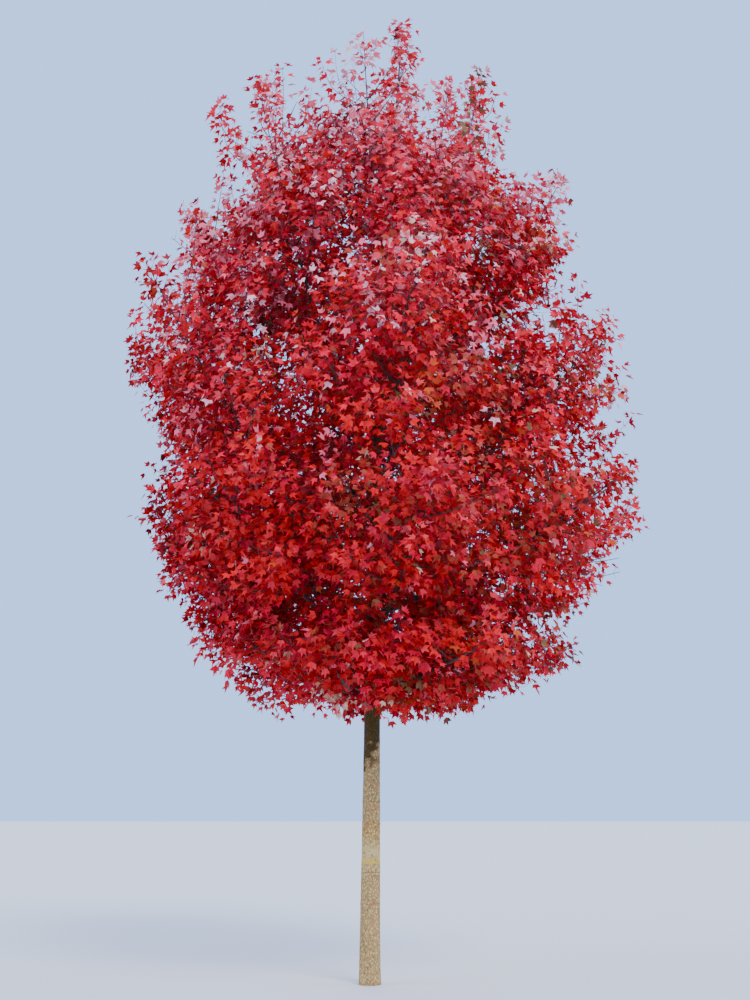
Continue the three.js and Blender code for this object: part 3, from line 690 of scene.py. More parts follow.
def leaves_on(twigs, step, leafy, luck):
    """Where leaves grow: opposite pairs back from each twig's tip, and one leaf at the tip itself.
    Each row gives the twig, the distance along it, the pair's number and which leaf of it."""
    length = twigs.length()
    every = np.arange(len(length))
    found = [(every, length - TIP_BACK, np.zeros_like(every), np.full_like(every, 2))]
    reach = np.minimum(length - LEAF_FROM, leafy)
    for pair in range(int(reach.max() / step) + 1):
        back = FIRST_PAIR + pair * step * between(PAIR_LUCK, twigs.keys, pair, luck)
        rows = np.flatnonzero(back < reach)
        for half in (0, 1):
            found.append((rows, (length - back)[rows], np.full(len(rows), pair), np.full(len(rows), half)))
    rows, distance, pair, half = stacked(found)
    place = twigs.at(rows, distance)[0]
    thinned = LEAVES_THINNED * thinness(place[:, 2])
    missing = chance(twigs.keys[rows], pair // THINNED_TOGETHER, luck, 1) < thinned
    spire = is_spire(twigs.branch[rows])
    kept = spire | ((outline_share(place, True) <= 1) & ((half == 2) | ~missing))
    return [column[kept] for column in (rows, distance, pair, half)]


class Leaves:
    """Many leaves as arrays: where each stalk leaves its twig and ends, the blade's three directions,
    its size, mass and tint."""

    def __init__(self, twigs, step, leafy, size, luck):
        rows, distance, pair, half = leaves_on(twigs, step, leafy, luck)
        self.mass, self.spray, self.branch = twigs.mass[rows], twigs.keys[rows], twigs.branch[rows]
        self.keys = self.spray * TWIG_KEYS + pair * LEAF_KEYS + half
        draw = lambda name: chance(self.keys, LEAF_LUCK, name)
        self.root, along = twigs.at(rows, distance)
        roll = pair * math.pi / 2 + half * math.pi + (draw(1) - 0.5) * LEAF_ROLL
        roll = roll + chance(self.spray, SPRAY_LUCK) * SPRAY_ROLL
        out = sideways(along, level_side(along), np.full(len(rows), math.pi / 2), roll)
        at_tip = (half == 2)[:, None]
        stalk = np.where(at_tip, along + out * STALK_ASIDE, along * STALK_AHEAD + out)
        stalk = unit(unit(stalk) + UP * (STALK_RISE[0] + STALK_RISE[1] * draw(2))[:, None])
        self.size = size * mix(*LEAF_LENGTH, draw(3)) * np.where(pair == 0, YOUNGEST, 1.0)
        self.size *= 1 - TOP_SMALLER * thinness(self.root[:, 2])
        reach = self.size * mix(*STALK_LENGTH, draw(4))
        self.base = self.root + stalk * reach[:, None] - UP * (reach * STALK_SAG)[:, None]
        hang = mix(*LEAF_HANG, draw(5))
        self.axis = unit(stalk * BLADE_ALONG + out * BLADE_OUT - UP * hang[:, None])
        away = unit((self.base - stem_centre(self.base[:, 2])) * (1, 1, 0))
        toss = np.stack([draw(6), draw(7), draw(8)], axis=1) - 0.5
        facing = UP * FACING_UP + away * FACING_OUT + toss * FACING_TOSS
        self.normal = unit(facing - self.axis * (facing * self.axis).sum(axis=1, keepdims=True))
        self.across = np.cross(self.axis, self.normal)
        self.fold = mix(*LEAF_FOLD, draw(10))
        self.curl = mix(*LEAF_CURL, draw(11))
        self.width = mix(*LEAF_WIDTH, draw(12))

    def corners(self, rows):
        """The corners of some leaves: the blade's, then the two where the stalk leaves the twig."""
        flat, _ = leaf_pattern()
        across, along = flat[:, 0], flat[:, 1]
        size = self.size[rows, None]
        wide = across * self.width[rows, None] * size
        far = along * size
        curl = self.curl[rows, None] * (across**2 + along**2)
        high = (self.fold[rows, None] * np.abs(across) - curl) * size
        frame_of = lambda vectors, amount: vectors[rows, None] * amount[..., None]
        blade = self.base[rows, None] + frame_of(self.across, wide) + frame_of(self.axis, far)
        blade = blade + frame_of(self.normal, high)
        edge = self.across[rows] * STALK_WIDTH / 2
        root = self.root[rows]
        return np.concatenate([blade, (root - edge)[:, None], (root + edge)[:, None]], 1)


def joined(parts):
    """One set of leaves out of several."""
    whole = object.__new__(Leaves)
    for name in vars(parts[0]):
        setattr(whole, name, np.concatenate([getattr(part, name) for part in parts]))
    return whole


# The tints of the leaves, in sRGB, and how likely each is: anywhere, towards the top, on the warm side,
# low on the cool side, and deep inside the crown. The paler, brighter tints towards the top are partly the
# leaves' pale undersides and partly painted light and painted sky reflection; the darker tints deep inside
# are painted shade
TINTS = {
    "crimson": ("b81014", 1.0, -0.5, -0.2, 0.2, 0.3),
    "scarlet": ("d61014", 1.0, -0.2, 0.1, -0.3, -0.4),
    "cherry": ("ea1434", 0.5, 0.8, 0.1, -0.3, -0.4),
    "carmine": ("c00c2a", 0.45, 0.4, -0.3, 0.4, 0.2),
    "maroon": ("7e0c14", 0.12, -0.1, -0.1, 0.25, 0.35),
    "rose": ("ea6674", 0.1, 2.3, -0.1, 0.0, -0.2),
    "blush": ("f6b0b4", 0.015, 1.4, -0.02, -0.03, -0.03),
    "coral": ("e2383c", 0.16, 0.05, 0.3, -0.1, -0.1),
    "orange": ("c8481e", 0.03, -0.03, 0.1, -0.03, 0.0),
    "russet": ("a63a22", 0.08, -0.05, 0.4, 0.05, 0.1),
    "olive": ("7a5430", 0.015, -0.01, 0.1, 0.0, 0.08),
    "buff": ("e4b898", 0.018, 0.03, 0.05, 0.0, -0.01),
}
WARM_SIDE = math.radians(-25)  # the direction of the crown's warmest tints
BRANCH_SHARE = 0.4  # sprays that take the tint of their whole branch
LEAF_SHARE = 0.34  # leaves that draw a tint of their own
# Partly painted light: the top's paler, brighter tints are partly the leaves' pale undersides and partly
# painted light through the leaves and painted sky reflection
HIGH_FROM, HIGH_OVER, HIGH_POWER = 4.5, 4.5, 1.5  # from where up the tints of the top set in
# Painted shade: from this share of the outline inward, leaves are dealt darker tints
SHADE_TINT_FROM, SHADE_TINT_OVER = 0.75, 0.5  # the share of the outline from which in those of the inside do
LEAST_WEIGHT = 0.004
PAST_LOW, PAST_HIGH = 0.04, (0.02, 0.02, 0.09)  # how far leaves may reach past the solids' box
LEAF_CLEARANCE = 0.015  # between a leaf's foot and the bare limbs
# The leaves on each kind of twig: the step between pairs as a share of the one that is set, how far
# back from the tip they stand, and a key
LEAVES_ON = {
    "leading": (1.0, 0.5, 1),
    "sides": (1.0, 0.45, 2),
    "inner": (1.2, 0.3, 5),
    "spread": (1.2, 0.3, 8),
    "on_sides": (1.0, 0.6, 3),
    "on_spread": (1.0, 0.6, 9),
    "on_leading": (1.0, 0.6, 4),
    "on_inner": (1.2, 0.6, 6),
    "whips": (0.9, 0.52, 7),
}


def linear(colour):
    """A colour of the form rrggbb as linear light."""
    parts = np.array([int(colour[i:i + 2], 16) / 255 for i in (0, 2, 4)])
    light = np.where(parts <= 0.04045, parts / 12.92, ((parts + 0.055) / 1.055) ** 2.4)
    return tuple(light.tolist())


def deal_tints(leaves):
    """The tint of every leaf, dealt out by branch, spray and leaf, by where it is in the crown."""
    centre = stem_centre(leaves.base[:, 2])
    towards = np.arctan2(leaves.base[:, 1] - centre[:, 1], leaves.base[:, 0] - centre[:, 0]) - WARM_SIDE
    # Partly painted light: how near the top a leaf is, which deals it paler, brighter tints
    high = np.clip((leaves.base[:, 2] - HIGH_FROM) / HIGH_OVER, 0, 1) ** HIGH_POWER
    share = np.clip(outline_share(leaves.base), 0, 1)
    warm = np.maximum(np.cos(towards), 0) * share
    cool = np.maximum(-np.cos(towards), 0) * (1 - high) * share
    # Painted shade: how deep inside the crown a leaf is, which deals it darker tints
    inside = np.clip((SHADE_TINT_FROM - share) / SHADE_TINT_OVER, 0, 1)
    rules = np.array([row[1:] for row in TINTS.values()])
    places = np.stack([np.ones_like(high), high, warm, cool, inside])
    edges = np.cumsum(np.maximum(places.T @ rules.T, LEAST_WEIGHT), axis=1)
    lot = lambda keys, name: chance(keys, TINT_LUCK, name)
    draw = chance(leaves.spray, TINT_LUCK)
    draw = np.where(lot(leaves.spray, 1) < BRANCH_SHARE, lot(leaves.branch, 2), draw)
    draw = np.where(lot(leaves.keys, 3) < LEAF_SHARE, lot(leaves.keys, 4), draw)
    return (edges < draw[:, None] * edges[:, -1:]).sum(axis=1).clip(0, len(TINTS) - 1)


@cache
def crown_leaves(spacing, longest, step, size):
    """Every leaf of the crown, with its tint."""
    wood = crown_wood(spacing, longest)
    parts = []
    for kind, (share, leafy, luck) in LEAVES_ON.items():
        parts.append(Leaves(wood[kind], step * share, leafy, size, luck))
    leaves = joined(parts)
    far = leaves.base + leaves.axis * leaves.size[:, None]
    low, high = (np.array(corner) for corner in CAD_BOUNDS)
    fits = ((far > low - PAST_LOW) & (far < high + PAST_HIGH)).all(axis=1)
    fits &= limb_clearance(leaves.base) > LEAF_CLEARANCE
    for name in vars(leaves):
        setattr(leaves, name, getattr(leaves, name)[fits])
    leaves.tint = deal_tints(leaves)
    return leaves


# Meshes

TRUNK_SIDES = 64
TRUNK_RINGS = 360
TRUNK_CROWDING = 1.3
TRUNK_COLUMNS = 26
TRUNK_KEY = 1
SCAR_HEIGHTS = (0.71, 1.43, 1.63, 1.99)
SCAR_SWELL = 0.0022
SCAR_WIDTH = 0.014
SMOOTHER_BY, SMOOTHER = 4, 0.45  # by this height the trunk's relief has come down to this share
CUT_EDGE = 0.02  # it also fades out over this stretch above the cut
FLAT_FOOT = 0.25  # the share of the flare's height over which the rings are level
BOUGH_SIDES = 10
BOUGH_RING_STEP = 0.028
BOUGH_COLUMNS = 8
BOUGH_KEY = 100
FULL_RELIEF_RADIUS, LEAST_RELIEF = 0.03, 0.25  # thinner boughs have less relief
# The bark's ribs and their warp and grain, in cells to a metre, how far the ribs warp, the grain's share
RIB_CELLS, WARP_CELLS, GRAIN_CELLS = 7, 5, 42
RIB_WARP = 0.04
GRAIN_SHARE = 0.35
NOISE_KEY = 8


def add_mesh(name, corners, faces, materials, choice=None, smooth=True):
    """A mesh object from arrays of corners and triangles."""
    mesh = bpy.data.meshes.new(name)
    mesh.vertices.add(len(corners))
    mesh.vertices.foreach_set("co", np.ascontiguousarray(corners, np.float32).ravel())
    mesh.loops.add(faces.size)
    mesh.loops.foreach_set("vertex_index", np.ascontiguousarray(faces, np.int32).ravel())
    mesh.polygons.add(len(faces))
    mesh.polygons.foreach_set("loop_start", np.arange(len(faces), dtype=np.int32) * faces.shape[1])
    for material in materials:
        mesh.materials.append(material)
    if choice is not None:
        mesh.polygons.foreach_set("material_index", np.ascontiguousarray(choice, np.int32))
    mesh.polygons.foreach_set("use_smooth", np.full(len(faces), smooth))
    mesh.update(calc_edges=True)
    mesh.validate()
    piece = bpy.data.objects.new(name, mesh)
    bpy.context.scene.collection.objects.link(piece)
    return piece


def stand_for(piece, node):
    """Fixes a piece to the tree in the place of one of its solids."""
    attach(piece, BODY)
    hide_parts(node)


def grid_faces(rings, sides):
    """The triangles of a tube of rings of corners."""
    ring, side = np.meshgrid(np.arange(rings - 1), np.arange(sides), indexing="ij")
    ring, side = ring.ravel(), side.ravel()
    following = (side + 1) % sides
    a, b = ring * sides + side, ring * sides + following
    c, d = b + sides, a + sides
    return np.concatenate([np.stack([a, b, c], 1), np.stack([a, c, d], 1)])


def tubes(points, counts, radii, sides):
    """Corners and triangles of many tapering tubes, each with a closed end."""
    every = np.arange(len(points))
    ahead = np.concatenate([points[:, 1:], points[:, -1:]], axis=1)
    behind = np.concatenate([points[:, :1], points[:, :-1]], axis=1)
    along = ahead - behind
    ends = points[every, counts - 1]
    along[every, counts - 1] = ends - points[every, np.maximum(counts - 2, 0)]
    along = unit(along)
    guide = np.eye(3)[np.abs(unit(ends - points[:, 0])).argmin(axis=1)]
    side = unit(np.cross(guide[:, None], along))
    lift = np.cross(along, side)
    turn = np.arange(sides) * FULL_TURN / sides
    ring = circled(side[:, :, None], lift[:, :, None], turn)
    corners = points[:, :, None] + ring * radii[:, :, None, None]
    used = np.arange(points.shape[1]) < counts[:, None]
    number = np.cumsum(used.ravel()).reshape(used.shape) - 1
    twig, step = np.nonzero(used[:, 1:])
    lower, upper = number[twig, step] * sides, number[twig, step + 1] * sides
    faces = []
    for k in range(sides):
        n = (k + 1) % sides
        faces.append(np.stack([lower + k, lower + n, upper + n], 1))
        faces.append(np.stack([lower + k, upper + n, upper + k], 1))
    end = number[every, counts - 1] * sides
    faces += [np.stack([end, end + k, end + k + 1], 1) for k in range(1, sides - 1)]
    return corners[used].reshape(-1, 3), np.concatenate(faces)


def smooth_step(share):
    return share * share * (3 - 2 * share)


def skin_noise(around, along, columns, key):
    """Smooth noise over a limb's skin. It closes after a number of columns round the limb."""
    around = around * columns
    i, j = np.floor(around).astype(int), np.floor(along).astype(int)
    du, dv = smooth_step(around - i), smooth_step(along - j)
    corner = lambda a, b: chance((i + a) % columns, j + b + NOISE_KEY, key, BARK_LUCK)
    return mix(mix(corner(0, 0), corner(1, 0), du), mix(corner(0, 1), corner(1, 1), du), dv)


def bark_relief(around, along, columns, key):
    """Shallow upright fissures between smooth ribs of bark, with a finer grain over them."""
    warp = skin_noise(around, along * WARP_CELLS, columns // 2, key + 1) - 0.5
    ribs = skin_noise(around + warp * RIB_WARP, along * RIB_CELLS, columns, key)
    ribs = 1 - 2 * np.abs(ribs - 0.5)
    grain = skin_noise(around, along * GRAIN_CELLS, columns * 2, key + 2)
    return (ribs**2 - 0.5) + GRAIN_SHARE * (grain - 0.5)


def trunk_skin(relief):
    """The stem's skin, from the flat cut at its foot to where the leading shoot takes over."""
    height = STEM_END * np.linspace(0, 1, TRUNK_RINGS) ** TRUNK_CROWDING
    turn = np.linspace(0, FULL_TURN, TRUNK_SIDES, endpoint=False)
    high, angle = np.meshgrid(height, turn, indexing="ij")
    rough = bark_relief(angle / FULL_TURN, high, TRUNK_COLUMNS, TRUNK_KEY) * relief
    rough = rough * mix(1.0, SMOOTHER, np.clip(high / SMOOTHER_BY, 0, 1)) * np.clip(high / CUT_EDGE, 0, 1)
    for scar in SCAR_HEIGHTS:
        rough = rough + SCAR_SWELL * np.exp(-(((high - scar) / SCAR_WIDTH) ** 2))
    radius = stem_skin(high, angle) + rough - relief / 2
    centre = stem_centre(height)
    ahead = unit(np.gradient(centre, axis=0))
    side = unit(np.array([1.0, 0.0, 0.0]) - ahead * ahead[:, :1])
    ring = circled(side[:, None], np.cross(ahead, side)[:, None], angle)
    ring[height < FLARE_HEIGHT * FLAT_FOOT, :, 2] = 0
    corners = (centre[:, None] + ring * radius[..., None]).reshape(-1, 3)
    foot, top = len(corners), len(corners) + 1
    rim = np.arange(TRUNK_SIDES)
    following = (rim + 1) % TRUNK_SIDES
    last = (TRUNK_RINGS - 1) * TRUNK_SIDES
    caps = [np.stack([np.full(TRUNK_SIDES, foot), following, rim], 1),
            np.stack([np.full(TRUNK_SIDES, top), last + rim, last + following], 1)]
    corners = np.concatenate([corners, centre[:1], centre[-1:]])
    return corners, np.concatenate([grid_faces(TRUNK_RINGS, TRUNK_SIDES), *caps])


def bough_skin(limb, relief):
    """The skin of one bare bough, from inside the trunk to where its mass of leaves takes over."""
    rings = int(LIMBS.length[limb] * LIMBS.bare[limb] / BOUGH_RING_STEP)
    share = np.linspace(0, LIMBS.bare[limb], rings)
    turn = np.linspace(0, FULL_TURN, BOUGH_SIDES, endpoint=False)
    shares, angle = np.meshgrid(share, turn, indexing="ij")
    along = shares * LIMBS.length[limb]
    rough = bark_relief(angle / FULL_TURN, along, BOUGH_COLUMNS, BOUGH_KEY + limb)
    radius = LIMBS.radius(limb, shares)
    radius = radius + rough * relief * np.clip(radius / FULL_RELIEF_RADIUS, LEAST_RELIEF, 1)
    rows = np.full(rings, limb)
    ahead = LIMBS.along(rows, share)
    side = unit(LIMBS.side[limb] - ahead * (ahead @ LIMBS.side[limb])[:, None])
    ring = circled(side[:, None], np.cross(side, ahead)[:, None], angle)
    corners = LIMBS.point(rows, share)[:, None] + ring * radius[..., None]
    return corners.reshape(-1, 3), grid_faces(rings, BOUGH_SIDES)[:, ::-1]


# Materials


def feed(tree, socket, value):
    """Links a socket to another one, or sets it to a number or a colour."""
    if isinstance(value, bpy.types.NodeSocket):
        tree.links.new(value, socket)
    else:
        socket.default_value = (*value, 1) if socket.type == "RGBA" else value


def add_node(tree, kind, inputs=(), **settings):
    """A node with some settings. Each input that is given is a socket, a number or a colour."""
    made = tree.nodes.new(kind)
    for name, value in settings.items():
        setattr(made, name, value)
    for name, value in dict(inputs).items():
        feed(tree, made.inputs[name], value)
    return made


def calculate(tree, operation, first, second=0.0):
    """The result of a sum on two sockets or numbers."""
    return add_node(tree, "ShaderNodeMath", {0: first, 1: second}, operation=operation).outputs[0]


def blend_colours(tree, amount, first, second):
    """First where the amount is 0 and second where it is 1. Each is a socket or a colour."""
    made = add_node(tree, "ShaderNodeMix", data_type="RGBA")
    sockets = {socket.identifier: socket for socket in made.inputs}
    for name, value in (("Factor_Float", amount), ("A_Color", first), ("B_Color", second)):
        feed(tree, sockets[name], value)
    return next(socket for socket in made.outputs if socket.identifier == "Result_Color")


def new_group(name, numbers, outputs):
    """A node group that takes a vector and some numbers and gives numbers. It returns the group, the
    sockets of what it is given and the sockets of its results."""
    group = bpy.data.node_groups.new(name, "ShaderNodeTree")
    group.interface.new_socket(name="Vector", in_out="INPUT", socket_type="NodeSocketVector")
    for label, value in numbers.items():
        socket = group.interface.new_socket(name=label, in_out="INPUT", socket_type="NodeSocketFloat")
        socket.default_value = value
    for label in outputs:
        group.interface.new_socket(name=label, in_out="OUTPUT", socket_type="NodeSocketFloat")
    return group, group.nodes.new("NodeGroupInput").outputs, group.nodes.new("NodeGroupOutput").inputs


def sharpened(group, value, low, high):
    """A value stretched so that low becomes 0 and high becomes 1, and held there."""
    inputs = {"Value": value, "From Min": low, "From Max": high}
    return add_node(group, "ShaderNodeMapRange", inputs, clamp=True).outputs["Result"]


def speckle_group():
    """Bark: upright flecks, broad patches, round pores, and the height of them all."""
    name = "bark_speckle"
    if name in bpy.data.node_groups:
        return bpy.data.node_groups[name]
    labels = ["Fleck", "Patch", "Pore", "Height"]
    group, given, result = new_group(name, {"Fineness": 90.0, "Upright": 0.35}, labels)
    stretch = add_node(group, "ShaderNodeCombineXYZ", {"X": 1.0, "Y": 1.0, "Z": given["Upright"]})
    factors = {0: given["Vector"], 1: stretch.outputs[0]}
    place = add_node(group, "ShaderNodeVectorMath", factors, operation="MULTIPLY").outputs[0]

    def texture(kind, output, fineness, low, high, **settings):
        """A texture at a share of the group's fineness, sharpened between two values."""
        scale = calculate(group, "MULTIPLY", given["Fineness"], fineness)
        made = add_node(group, kind, {"Vector": place, "Scale": scale, **settings})
        return sharpened(group, made.outputs[output], low, high)

    clouds = texture("ShaderNodeTexNoise", "Fac", 1.0, 0.3, 0.56, Detail=4.0, Roughness=0.62)
    patches = texture("ShaderNodeTexNoise", "Fac", 0.17, 0.38, 0.62, Detail=3.0, Roughness=0.55)
    spots = texture("ShaderNodeTexVoronoi", "Distance", 0.48, 0.5, 0.2, Randomness=1.0)
    pores = texture("ShaderNodeTexVoronoi", "Distance", 0.34, 0.38, 0.14, Randomness=1.0)
    flecks = calculate(group, "MULTIPLY", spots, clouds)
    height = calculate(group, "ADD", flecks, calculate(group, "MULTIPLY", pores, 0.6))
    for label, value in zip(labels, (flecks, patches, pores, height)):
        group.links.new(value, result[label])
    return group


def band_group():
    """A ragged level band round a stem: 1 within its half width of its height, and 0 beyond."""
    name = "level_band"
    if name in bpy.data.node_groups:
        return bpy.data.node_groups[name]
    numbers = {"Middle": 1.0, "Half Width": 0.01, "Ragged": 0.01, "Soft": 0.004, "Grain": 24.0, "Lean": 0.0}
    group, given, result = new_group(name, numbers, ["Mask"])
    split = add_node(group, "ShaderNodeSeparateXYZ", {0: given["Vector"]}).outputs
    inputs = {"Vector": given["Vector"], "Scale": given["Grain"], "Detail": 3.0}
    noise = add_node(group, "ShaderNodeTexNoise", inputs).outputs["Fac"]
    shift = calculate(group, "MULTIPLY", calculate(group, "SUBTRACT", noise, 0.5), given["Ragged"])
    lean = calculate(group, "MULTIPLY", split["X"], given["Lean"])
    height = calculate(group, "SUBTRACT", calculate(group, "ADD", split["Z"], shift), lean)
    off = calculate(group, "SUBTRACT", height, given["Middle"])
    inside = calculate(group, "SUBTRACT", given["Half Width"], calculate(group, "ABSOLUTE", off))
    share = calculate(group, "DIVIDE", inside, given["Soft"])
    group.links.new(sharpened(group, share, 0.0, 1.0), result["Mask"])
    return group


def place_group(tree, group, vector, **numbers):
    """The outputs of a node for a group. An underscore in a number's name stands for a space."""
    inputs = {name.replace("_", " "): value for name, value in numbers.items()}
    return add_node(tree, "ShaderNodeGroup", {"Vector": vector, **inputs}, node_tree=group).outputs


def new_material(name, colour, roughness, gloss=0.3):
    """A material whose surface is one principled shader. It returns the material and the shader."""
    material = bpy.data.materials.new(name)
    material.use_nodes = True
    material.diffuse_color = (*colour, 1)
    shader = material.node_tree.nodes["Principled BSDF"]
    shader.inputs["Base Color"].default_value = (*colour, 1)
    shader.inputs["Roughness"].default_value = roughness
    shader.inputs["Specular IOR Level"].default_value = gloss
    return material, shader


def start_bark(name, colour, roughness, **grain):
    """A bark's material, its shader, the place on the tree and the bark's speckles."""
    material, shader = new_material(name, colour, roughness)
    place = add_node(material.node_tree, "ShaderNodeTexCoord").outputs["Object"]
    return material, shader, place, place_group(material.node_tree, speckle_group(), place, **grain)


def finish_bark(shader, grain, colour, layers, rough, smoother, bump):
    """Lays the colour of each layer over the ones before it, and adds the roughness and the relief."""
    tree = shader.id_data
    for amount, over in layers:
        colour = blend_colours(tree, amount, colour, over)
    sheen = calculate(tree, "MULTIPLY", grain["Fleck"], smoother)
    strength, distance = bump
    relief = {"Strength": strength, "Distance": distance, "Height": grain["Height"]}
    tree.links.new(colour, shader.inputs["Base Color"])
    tree.links.new(calculate(tree, "SUBTRACT", rough, sheen), shader.inputs["Roughness"])
    tree.links.new(add_node(tree, "ShaderNodeBump", relief).outputs["Normal"], shader.inputs["Normal"])


def trunk_material(look):
    """Pale grey-tan bark: cream flecks, grey and olive bands, old scars and two rings of paint."""
    start = start_bark("trunk_bark", look.trunk_colour, 0.82, Fineness=122.0, Upright=0.66)
    material, shader, place, grain = start
    tree = material.node_tree
    times = lambda mask, amount: calculate(tree, "MULTIPLY", mask, amount)

    def band(middle, half, ragged, soft, **others):
        numbers = dict(Middle=middle, Half_Width=half, Ragged=ragged, Soft=soft, **others)
        return place_group(tree, band_group(), place, **numbers)["Mask"]

    # Painted shade: the crown's shadow painted over the upper stem as a ragged band from about 1.9 m up,
    # reaching lower on the left side; the flecks fade under it
    upper = band(6.0, 4.1, 0.85, 0.17, Grain=14.0, Lean=1.4)
    fade = calculate(tree, "SUBTRACT", 1.0, times(upper, 0.93))
    worn = calculate(tree, "SUBTRACT", 0.7, times(grain["Pore"], 0.4))
    layers = [
        (grain["Patch"], look.patch_colour),
        (times(band(1.16, 0.2, 0.3, 0.2, Grain=7.0), 0.7), look.grey_colour),
        (times(band(1.37, 0.15, 0.4, 0.14, Grain=11.0), 0.5), look.stain_colour),
        (upper, look.painted_shade_colour),
        *((times(band(scar, 0.008, 0.03, 0.008), 0.5), look.scar_colour) for scar in SCAR_HEIGHTS),
        (times(times(grain["Fleck"], 0.85), fade), look.fleck_colour),
        (times(grain["Pore"], 0.66), look.scar_colour),
        (times(band(1.08, 0.017, 0.03, 0.006), worn), look.upper_paint),
        (times(band(0.99, 0.006, 0.006, 0.006), worn), look.lower_paint),
    ]
    finish_bark(shader, grain, look.trunk_colour, layers, rough=0.88, smoother=0.12, bump=(0.7, 0.003))
    return material


def bough_material(look):
    """Darker, smoother bark with grey lichen, for boughs in the crown's shade."""
    start = start_bark("bough_bark", look.bough_bark_and_shade_colour, 0.8, Fineness=120.0, Upright=0.8)
    material, shader, _, grain = start
    tree = material.node_tree
    layers = [
        (grain["Patch"], look.lichen_colour),
        (calculate(tree, "MULTIPLY", grain["Fleck"], 0.15), look.fleck_colour),
        (calculate(tree, "MULTIPLY", grain["Pore"], 0.4), look.scar_colour),
    ]
    finish_bark(shader, grain, look.bough_bark_and_shade_colour, layers, rough=0.86, smoother=0.14, bump=(0.6, 0.0015))
    return material


def colour_setting(name, description, colour):
    return FloatVectorProperty(name=name, description=description, subtype="COLOR", size=3, min=0, max=1,
                               default=linear(colour))


def size_setting(name, description, default, **limits):
    return FloatProperty(name=name, description=description, default=default, subtype="DISTANCE",
                         unit="LENGTH", **limits)


def strength_setting(name, description, default):
    return FloatProperty(name=name, description=description, default=default, min=0)


class TreeBark(PropertyGroup):
    """The finish of the stem, boughs and twigs"""

    trunk_relief: size_setting("Trunk Relief", "Depth of the stem's fissures", 0.0022, min=0, max=0.01)
    bough_relief: size_setting("Bough Relief", "Depth of the boughs' fissures", 0.0014, min=0, max=0.01)
    trunk_colour: colour_setting("Trunk", "The stem's bark", "967b48")
    patch_colour: colour_setting("Patches", "Broad patches on the stem", "aa7e4e")
    fleck_colour: colour_setting("Flecks", "Pale upright flecks", "eac886")
    grey_colour: colour_setting("Grey Band", "The smoother grey bark at breast height", "ceb072")
    stain_colour: colour_setting("Stain", "The olive bloom above the grey band", "9e721e")
    scar_colour: colour_setting("Scars", "Old scars and pores", "5a4630")
    # Painted shade: the colour of the crown's shadow painted over the upper stem
    painted_shade_colour: colour_setting("Upper Stem", "The darker bark inside the crown", "433206")
    # Partly painted shade: the boughs' dark base colour also stands for the crown's shadow on them
    bough_bark_and_shade_colour: colour_setting("Boughs", "The boughs' bark", "463c34")
    lichen_colour: colour_setting("Lichen", "Lichen on the boughs", "665e52")
    old_twig_colour: colour_setting("Twigs", "Twigs of two years and more", "463a38")
    new_twig_colour: colour_setting("Shoots", "This year's shoots", "5a2c30")
    upper_paint: colour_setting("Upper Paint", "The nursery's upper ring of paint", "d2a92a")
    lower_paint: colour_setting("Lower Paint", "The nursery's thin lower ring of paint", "7c3a34")


class TreeLeaves(PropertyGroup):
    """How many leaves the crown bears, and how large they are"""

    leaf_size: size_setting("Leaf Length", "Length of a leaf's blade", 0.087, min=0.04, max=0.3)
    leaf_step: size_setting("Leaf Step", "Between pairs of leaves along a shoot", 0.066, min=0.03, max=0.5)
    shoot_step: size_setting("Shoot Step", "Between pairs of shoots along a twig", 0.125, min=0.06, max=1)
    shoot_length: size_setting("Shoot Length", "Length of the longest shoots", 0.42, min=0.1, max=1)


TreeTints = type("TreeTints", (PropertyGroup,), {
    "__doc__": "The tints of the leaves",
    "__annotations__": {
        name: colour_setting(name.title(), f"Leaves of {name}", row[0]) for name, row in TINTS.items()
    },
})


class TreeStage(PropertyGroup):
    """The floor, lights and camera round the tree"""

    floor_size: size_setting("Floor", "Width of the floor", 240, min=10)
    floor_colour: colour_setting("Floor Colour", "The plain floor", "dcd6d2")
    sky_colour: colour_setting("Surroundings", "The plain surroundings", "a0c4fc")
    sky_strength: strength_setting("Surroundings Strength", "Light from all round", 2.0)
    key_strength: strength_setting("Key Strength", "The soft main light", 2.3)
    fill_strength: strength_setting("Fill Strength", "Each weaker light", 0.8)
    camera_distance: size_setting("Camera Distance", "From the camera to the stem", 12.6, min=2)
    camera_height: size_setting("Camera Height", "The camera above the ground", 1.6, min=0)
    camera_aside: size_setting("Camera Aside", "The camera to the right of the stem", 0.05)
    camera_pitch: FloatProperty(name="Camera Pitch", description="How far the camera looks up",
                                default=math.radians(13.2), subtype="ANGLE", unit="ROTATION")
    camera_lens: FloatProperty(name="Camera Lens", description="Focal length in millimetres",
                               default=46.8, min=10)


# The steps, in the order that the main function takes them

LEAF_ROUGHNESS = 0.55
LEAF_GLOSS = 0.23
OLD_ROUGHNESS, NEW_ROUGHNESS = 0.75, 0.6
FLOOR_ROUGHNESS = 0.9
SUN_DISTANCE = 20
STEM_RINGS, STEM_SIDES = 26, 7
STEM_THINNED, THINNED_POWER = 0.5, 4  # how thin the end of a mass's stem is drawn, and how late
TWIG_TAPER = 0.8
# The kinds of twigs that are drawn: the faces round each, and 1 for shoots of this year
TUBES = {
    "sides": (4, 0),
    "inner": (4, 0),
    "spread": (3, 0),
    "on_sides": (3, 1),
    "on_leading": (3, 1),
    "on_inner": (3, 1),
    "on_spread": (3, 1),
    "whips": (3, 1),
}
# Each light: its name, where it stands round the tree from the camera, its height above the horizon,
# its share of the strength, and how wide it looks, in degrees
SUNS = (
    ("key", 28, 42, 1.0, 24),
    ("side_fill", 95, 30, 0.8, 40),
    ("back_fill", 185, 40, 1.3, 40),
    ("far_fill", -75, 30, 1.0, 40),
)


